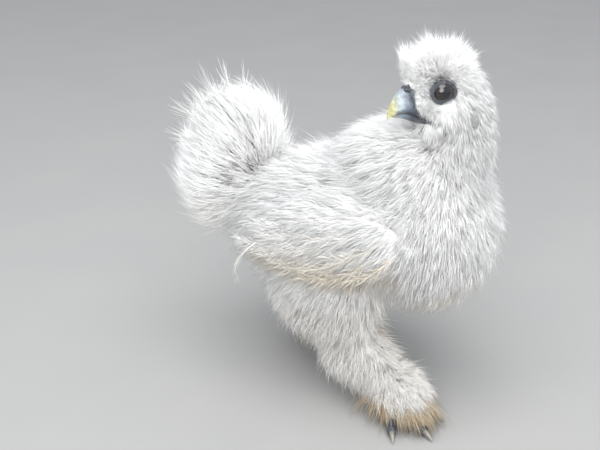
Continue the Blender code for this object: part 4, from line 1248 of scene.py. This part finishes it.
def painted_shade_and_dark_horn(forward, up, stations, upper):
    """How dark each point is painted: shade along the mouth line, and on the upper half shade in the
    nostril and the darker horn round it.
    """
    mouth = np.interp(forward, [row[0] for row in stations], [row[2] for row in stations])
    # painted shade along the line of the mouth
    dark = 0.85 * (1.0 - ramp(np.abs(up - mouth), *MOUTH_SHADE_EDGE)) * (1.0 - ramp(forward, *MOUTH_SHADE_END))
    if upper:
        # painted shade in the nostril's slit
        dark = np.maximum(dark, 1.0 - ramp(nostril_share(forward, up), 0.6, 1.3))
        ahead, high, half_ahead, half_high = DARK_PATCH
        patch = np.hypot((forward - ahead) / half_ahead, (up - high) / half_high)
        dark = np.maximum(dark, 0.55 * (1.0 - ramp(patch, 0.4, 1.2)))
    return dark


bill_look, tree, shader = new_material("bill horn", 0.32, Coat_Weight=0.25, Coat_Roughness=0.25)
band_node = add_node(tree, "ShaderNodeValToRGB")
band = band_node.color_ramp
while len(band.elements) < len(HORN_BAND):
    band.elements.new(0.5)
for element, (place, colour) in zip(band.elements, HORN_BAND):
    element.position = place
    element.color = (*colour, 1.0)
tree.links.new(painted(tree, "along"), band_node.inputs["Fac"])
streaks = noise(tree, 420.0, 5.0)
worn = spread_of(tree, streaks, 0.35, 0.70, 0.72, 1.12)
horn_colour = mix_colours(tree, 1.0, band_node.outputs["Color"], worn, "MULTIPLY")
# the 'dark' attribute: painted shade of the mouth line and nostril, and the darker horn round the nostril
horn_colour = mix_colours(tree, painted(tree, "dark"), horn_colour, SHADE_AND_DARK_HORN)
tree.links.new(horn_colour, shader.inputs["Base Color"])
bump(tree, shader, streaks, 0.25, 0.0003)
for half_name, stations, upper in (("upper", UPPER_BILL, True), ("lower", LOWER_BILL, False)):
    drawn = smooth_stations(stations, BILL_RINGS)
    angle = 2 * math.pi * np.arange(BILL_SIDES) / BILL_SIDES
    rise = np.sin(angle)[None]
    ahead, half_width, mouth, crown = [drawn[:, k : k + 1] for k in range(4)]
    dome = np.maximum(rise, 0.0) ** 0.9
    left = half_width * np.cos(angle)[None] * (1.0 - 0.10 * np.maximum(rise, 0.0) ** 2)
    up = mouth + (crown - mouth) * dome
    up = up - np.sign(crown - mouth) * MOUTH_BULGE * np.maximum(-rise, 0.0)
    forward = np.broadcast_to(ahead, left.shape)
    if upper:
        pit = 1.0 - ramp(nostril_share(forward, up), 0.5, 1.2)
        left = left * (1.0 - NOSTRIL_DEPTH * pit * (np.abs(left) > MIDLINE))
    rings = np.stack((forward, left, up), axis=2) @ HEAD_AXES + HEAD_AT
    piece = loft("bill_" + half_name + "_horn", rings)
    forward, left, up = on_head(places_of(piece)).T
    paint(piece, "along", np.clip((forward - BILL_START) / BILL_RUN, 0.0, 1.0))
    paint(piece, "dark", painted_shade_and_dark_horn(forward, up, stations, upper))
    piece.data.shade_smooth()
    piece.data.materials.append(bill_look)
    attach(piece, "root")
    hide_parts("bill_" + half_name)


# Comb, wattles and ear lobes
# Small fleshy pieces. The comb is a low dark cushion of warts over the base of the bill, as the breed's
# walnut comb is, the dark wattles hang below the bill, and the paler ear lobes lie flat behind and below
# the eyes.
COMB_WARTS = 9
COMB_SEED = 70
COMB_FRONT = (0.0240, 0.0040)
COMB_ROW = (0.0024, 0.0015)
WART_SIZES = (0.0018, 0.0026)
WATTLE_SIZE = (0.0042, 0.0020, 0.0062)
LOBE_SIZE = (0.0034, 0.0018, 0.0048)
FLESH_VOXEL = 0.0004

# The three balls of a wattle or lobe: how far up each lies, in quarters of the height, and its size
FLESH_BALLS = ((1, 0.62), (0, 0.80), (-1, 0.66))


def warty(name, balls, look, node):
    """Balls fused to one lump, in place of a node: each a middle, half sizes and a turn."""
    made = []
    for middle, sizes, turn in balls:
        deselect()
        bpy.ops.mesh.primitive_uv_sphere_add(segments=24, ring_count=16, radius=1.0, location=middle)
        ball = bpy.context.object
        ball.scale = sizes
        ball.rotation_euler = (0.0, 0.0, turn)
        made.append(set_in_place(ball))
    lump = joined(made, name)
    apply(lump, "REMESH", mode="VOXEL", voxel_size=FLESH_VOXEL)
    apply(lump, "SMOOTH", factor=0.5, iterations=2)
    lump.data.shade_smooth()
    lump.data.materials.append(look)
    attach(lump, "root")
    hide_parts(node)


comb_look = skin_material("comb skin", (0.15, 0.155, 0.185), (0.035, 0.034, 0.045), 900.0, 0.5)
draw = np.random.default_rng(COMB_SEED)
balls = []
for k in range(COMB_WARTS):
    row, side = k // 2, (-1) ** k
    spot = head_point(
        COMB_FRONT[0] - COMB_ROW[0] * row + draw.uniform(-0.0006, 0.0006),
        side * draw.uniform(0.0012, 0.0030),
        COMB_FRONT[1] + COMB_ROW[1] * row + draw.uniform(-0.0005, 0.0006),
    )
    size = draw.uniform(*WART_SIZES)
    balls.append((spot, (size, size * 0.9, size), 0.0))
warty("comb_warts", balls, comb_look, "comb")
lobe_look = skin_material("ear lobe", (0.56, 0.55, 0.54), (0.24, 0.24, 0.245), 1300.0, 0.6)
for side_name, side in (("left", 1), ("right", -1)):
    for kind, sizes, look, slot_name in (
        ("wattle_", WATTLE_SIZE, comb_look, "comb_skin"),
        ("ear_lobe_", LOBE_SIZE, lobe_look, "slate_skin"),
    ):
        low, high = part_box(kind + side_name)
        middle = (np.array(low) + np.array(high)) / 2
        balls = [
            (middle + np.array((0.0, 0.0, step * sizes[2] * 0.5)), np.array(sizes) * part, HEAD_HEADING)
            for step, part in FLESH_BALLS
        ]
        warty(kind + "flesh_" + side_name, balls, look, kind + side_name)


# Toes and claws
# Five toes a foot, as the breed has, covered in rows of small slate-grey scutes above and soft pads
# below. Each ends in a curved claw of dusty horn, and they join in a low pad under the ankle.

# Legs: ankle, the way its middle toe points in degrees, and its side
LEGS = {
    "right": ((0.061, -0.039, 0.014), -30, -1),
    "left": ((-0.019, 0.044, 0.014), 12, 1),
}

# Toes: degrees out from the middle toe, length, half thickness, rise of the tip
TOES = (
    (180, 0.027, 0.0042, 0.0),
    (32, 0.036, 0.0043, 0.0),
    (0, 0.043, 0.0046, 0.0),
    (-34, 0.036, 0.0043, 0.0),
    (146, 0.024, 0.0036, 0.003),
)
CLAW_LENGTH = 0.010
CLAW_DROOP = 0.0038
CLAW_SUNK = 0.0015
TOE_SIDES = 16
TOE_POINTS = 40
CLAW_POINTS = 14

# Taper: places along a toe or claw, and its half thickness there as shares of the toe's
TOE_TAPER = ((0.0, 0.4, 0.75, 1.0), (1.15, 1.0, 0.92, 0.72))
CLAW_TAPER = ((0.0, 0.35, 0.7, 1.0), (0.58, 0.45, 0.24, 0.02))
TOE_JOINTS = 3
TOE_SCUTES = 13
TOE_FLOOR = 0.0004
CLAW_FLOOR = 0.0002
PAD_HEIGHT = 0.0102
PAD_SIZES = (0.011, 0.010, 0.0098)
UPRIGHT = np.array((0.0, 0.0, 1.0))


def tube_rings(path, radii, floor, scutes=None):
    """Rings of points round a nearly level path, flat on the floor, with its scutes raised on top."""
    ahead = unit(np.gradient(path, axis=0))
    side = unit(np.cross(ahead, UPRIGHT))
    up = np.cross(side, ahead)
    angle = 2 * math.pi * np.arange(TOE_SIDES) / TOE_SIDES
    size = radii[:, None] * np.ones(TOE_SIDES)[None]
    if scutes is not None:
        size = size * (1.0 + scutes[:, None] * np.maximum(np.sin(angle), 0.0)[None])
    around = np.cos(angle)[None, :, None] * side[:, None] + np.sin(angle)[None, :, None] * up[:, None]
    rings = path[:, None] + size[:, :, None] * around
    rings[:, :, 2] = np.maximum(rings[:, :, 2], floor)
    return rings


toe_look = skin_material("slate toe skin", (0.13, 0.145, 0.165), (0.030, 0.034, 0.042), 800.0, 0.5)
claw_look, tree, shader = new_material("claw horn", 0.3, Coat_Weight=0.2, Coat_Roughness=0.2)
grain = spread_of(tree, noise(tree, 900.0), 0.3, 0.7)
horn_base = mix_colours(tree, grain, (0.10, 0.095, 0.085, 1.0), (0.16, 0.15, 0.13, 1.0))
claw_colour = mix_colours(tree, painted(tree, "along"), horn_base, (0.30, 0.28, 0.24, 1.0))
tree.links.new(claw_colour, shader.inputs["Base Color"])
bump(tree, shader, noise(tree, 1200.0), 0.3, 0.0002)
for leg_name, (ankle, heading, side) in LEGS.items():
    toes, claws = [], []
    for turn, length, thick, rise in TOES:
        angle = math.radians(heading - side * turn)
        ahead = np.array((math.cos(angle), math.sin(angle), 0.0))
        base = np.array((ankle[0], ankle[1], thick + TOE_FLOOR))
        run = np.linspace(0.0, 1.0, TOE_POINTS)[:, None]
        path = base + ahead * length * run + UPRIGHT * rise * run**2
        joints = 0.06 * np.cos(2 * math.pi * run[:, 0] * TOE_JOINTS) - 0.02
        scutes = 0.10 * (run[:, 0] * TOE_SCUTES % 1.0)
        radii = thick * np.interp(run[:, 0], *TOE_TAPER) * (1.0 + joints)
        toes.append(loft("toe", tube_rings(path, radii, TOE_FLOOR, scutes)))
        end = path[-1] - ahead * CLAW_SUNK
        run = np.linspace(0.0, 1.0, CLAW_POINTS)[:, None]
        droop = min(end[2] - 0.0006, CLAW_DROOP)
        path = end + ahead * CLAW_LENGTH * run - UPRIGHT * droop * run**2
        claw = loft("claw", tube_rings(path, thick * np.interp(run[:, 0], *CLAW_TAPER), CLAW_FLOOR))
        paint(claw, "along", np.clip(((places_of(claw) - end) @ ahead) / CLAW_LENGTH, 0.0, 1.0))
        claws.append(claw)
    deselect()
    pad_at = (*ankle[:2], PAD_HEIGHT)
    bpy.ops.mesh.primitive_uv_sphere_add(segments=32, ring_count=16, radius=1.0, location=pad_at)
    pad = bpy.context.object
    pad.scale = PAD_SIZES
    toes.append(set_in_place(pad))
    foot = joined(toes, "toes_" + leg_name)
    foot.data.shade_smooth()
    foot.data.materials.append(toe_look)
    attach(foot, "root")
    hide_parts("foot_" + leg_name)
    horn = joined(claws, "claws_" + leg_name)
    horn.data.shade_smooth()
    horn.data.materials.append(claw_look)
    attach(horn, "root")
    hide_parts(*[f"claw_{leg_name}_{toe}" for toe in range(1, 6)])


# Foot feathers
# Stiff little feathers grow over the foot down to the toes. They fan out along the ground and are stained
# brown by dirt and wear, and so lie in separate pointed strands.
FOOT_TUFTS = 330
FOOT_SEED = 80
FOOT_LENGTHS = (0.016, 0.031)
FOOT_LEAD = 0.45
FOOT_STRAY = (0.18, 0.18, 0.0)
FOOT_ARCH = 0.004

# A tuft: how many strands, its radius, a strand's width, its tip as a share of its root, and its stray
FOOT_TUFT = (6, 0.0020, 0.00048, 0.30, 0.06)

# Heights of the roots on the foot, and of the tips over the floor
FOOT_ROOTS = (0.006, 0.017)
FOOT_TIPS = (0.0008, 0.0045)
soiled = down_material("soiled foot down", (0.70, 0.65, 0.55), (0.66, 0.58, 0.45), (0.62, 0.50, 0.36))
for leg_name, (ankle, heading, side) in LEGS.items():
    draw = np.random.default_rng(FOOT_SEED + side)
    middle = np.array((ankle[0], ankle[1], 0.0))
    height = triangle_middles[:, 2]
    low = (triangle_egg == EGG_NAMES.index("foot_" + leg_name)) & (height > FOOT_ROOTS[0])
    low &= height < FOOT_ROOTS[1]
    roots, unwrap = pick_roots(draw, FOOT_TUFTS, low.astype(float))
    away = roots - middle
    away[:, 2] = 0.0
    angle = math.radians(heading)
    away = unit(unit(away) + FOOT_LEAD * np.array((math.cos(angle), math.sin(angle), 0.0)))
    away = unit(away + draw.normal(size=away.shape) * np.array(FOOT_STRAY))
    length = draw.uniform(*FOOT_LENGTHS, FOOT_TUFTS)
    share = np.linspace(0.0, 1.0, PLUME_RINGS + 1)
    drop = (roots[:, 2] - draw.uniform(*FOOT_TIPS, FOOT_TUFTS))[:, None] * share[None] ** 1.6
    lines = roots[:, None] + away[:, None] * (length[:, None] * share[None])[:, :, None]
    lines[:, :, 2] = roots[:, 2:3] - drop + FOOT_ARCH * np.sin(math.pi * share)[None]
    normals = np.tile(UPRIGHT, (FOOT_TUFTS, 1))
    paths, fronts, widths, owner = strands_of(draw, lines, normals, *FOOT_TUFT)
    tone = draw.uniform(0.0, 1.0, FOOT_TUFTS)[owner]
    stain = draw.uniform(0.0, 1.0, FOOT_TUFTS)[owner]
    paths = keep_off_floor(paths)
    fan = blades("foot_fringe_" + leg_name, paths, fronts, widths, unwrap[owner], tone, stain)
    finish_coat(fan, soiled)


# Floor, light and camera
# A pale studio floor, one broad soft light above and one from the front, an even pale sky, and the camera
# at the photograph's angle and distance.
FLOOR_SIZE = 8.0
FLOOR_PALE = (0.355, 0.35, 0.34, 1.0)
FLOOR_DARK = (0.34, 0.335, 0.33, 1.0)
SKY = (0.88, 0.92, 0.97, 1.0)
SKY_STRENGTH = 0.95
BODY_MIDDLE = (0.0, 0.0, 0.12)

# Lights: place, size across and power
LIGHT_ABOVE = ((0.2, -0.5, 1.5), 1.4, 22.0)
LIGHT_FRONT = ((0.6, -1.5, 0.9), 1.2, 18.0)

# The camera's place, its turn about Z and height over the horizon as seen from the bird, and its lens
CAMERA_AT = (0.26602, -0.63350, 0.43077)
AZIMUTH = math.radians(25)
ELEVATION = math.radians(24)
CAMERA_LENS = 59.4
CAMERA_SENSOR = 36.0

bpy.ops.mesh.primitive_plane_add(size=FLOOR_SIZE, location=(0.0, 0.0, 0.0))
floor = bpy.context.object
floor.name = "floor"
look, tree, shader = new_material("studio floor", 0.9)
speckle = spread_of(tree, noise(tree, 9.0), 0.2, 0.8)
tree.links.new(mix_colours(tree, speckle, FLOOR_DARK, FLOOR_PALE), shader.inputs["Base Color"])
floor.data.materials.append(look)


def soft_light(name, place, size, watts):
    """A round light that faces the middle of the body."""
    bpy.ops.object.light_add(type="AREA", location=place)
    light = bpy.context.object
    light.name = name
    light.data.shape = "DISK"
    light.data.size = size
    light.data.energy = watts
    light.rotation_euler = (Vector(BODY_MIDDLE) - Vector(place)).to_track_quat("-Z", "Y").to_euler()


soft_light("light_above", *LIGHT_ABOVE)
soft_light("light_front", *LIGHT_FRONT)
world = bpy.context.scene.world or bpy.data.worlds.new("studio")
bpy.context.scene.world = world
world.use_nodes = True
world.node_tree.nodes["Background"].inputs["Color"].default_value = SKY
world.node_tree.nodes["Background"].inputs["Strength"].default_value = SKY_STRENGTH
bpy.context.scene.view_settings.view_transform = "Standard"
bpy.ops.object.camera_add(location=CAMERA_AT)
camera = bpy.context.object
camera.name = "camera"
camera.data.sensor_width = CAMERA_SENSOR
camera.data.lens = CAMERA_LENS
back = Vector(
    (
        math.sin(AZIMUTH) * math.cos(ELEVATION),
        -math.cos(AZIMUTH) * math.cos(ELEVATION),
        math.sin(ELEVATION),
    )
)
camera.rotation_euler = (-back).to_track_quat("-Z", "Y").to_euler()
bpy.context.scene.camera = camera
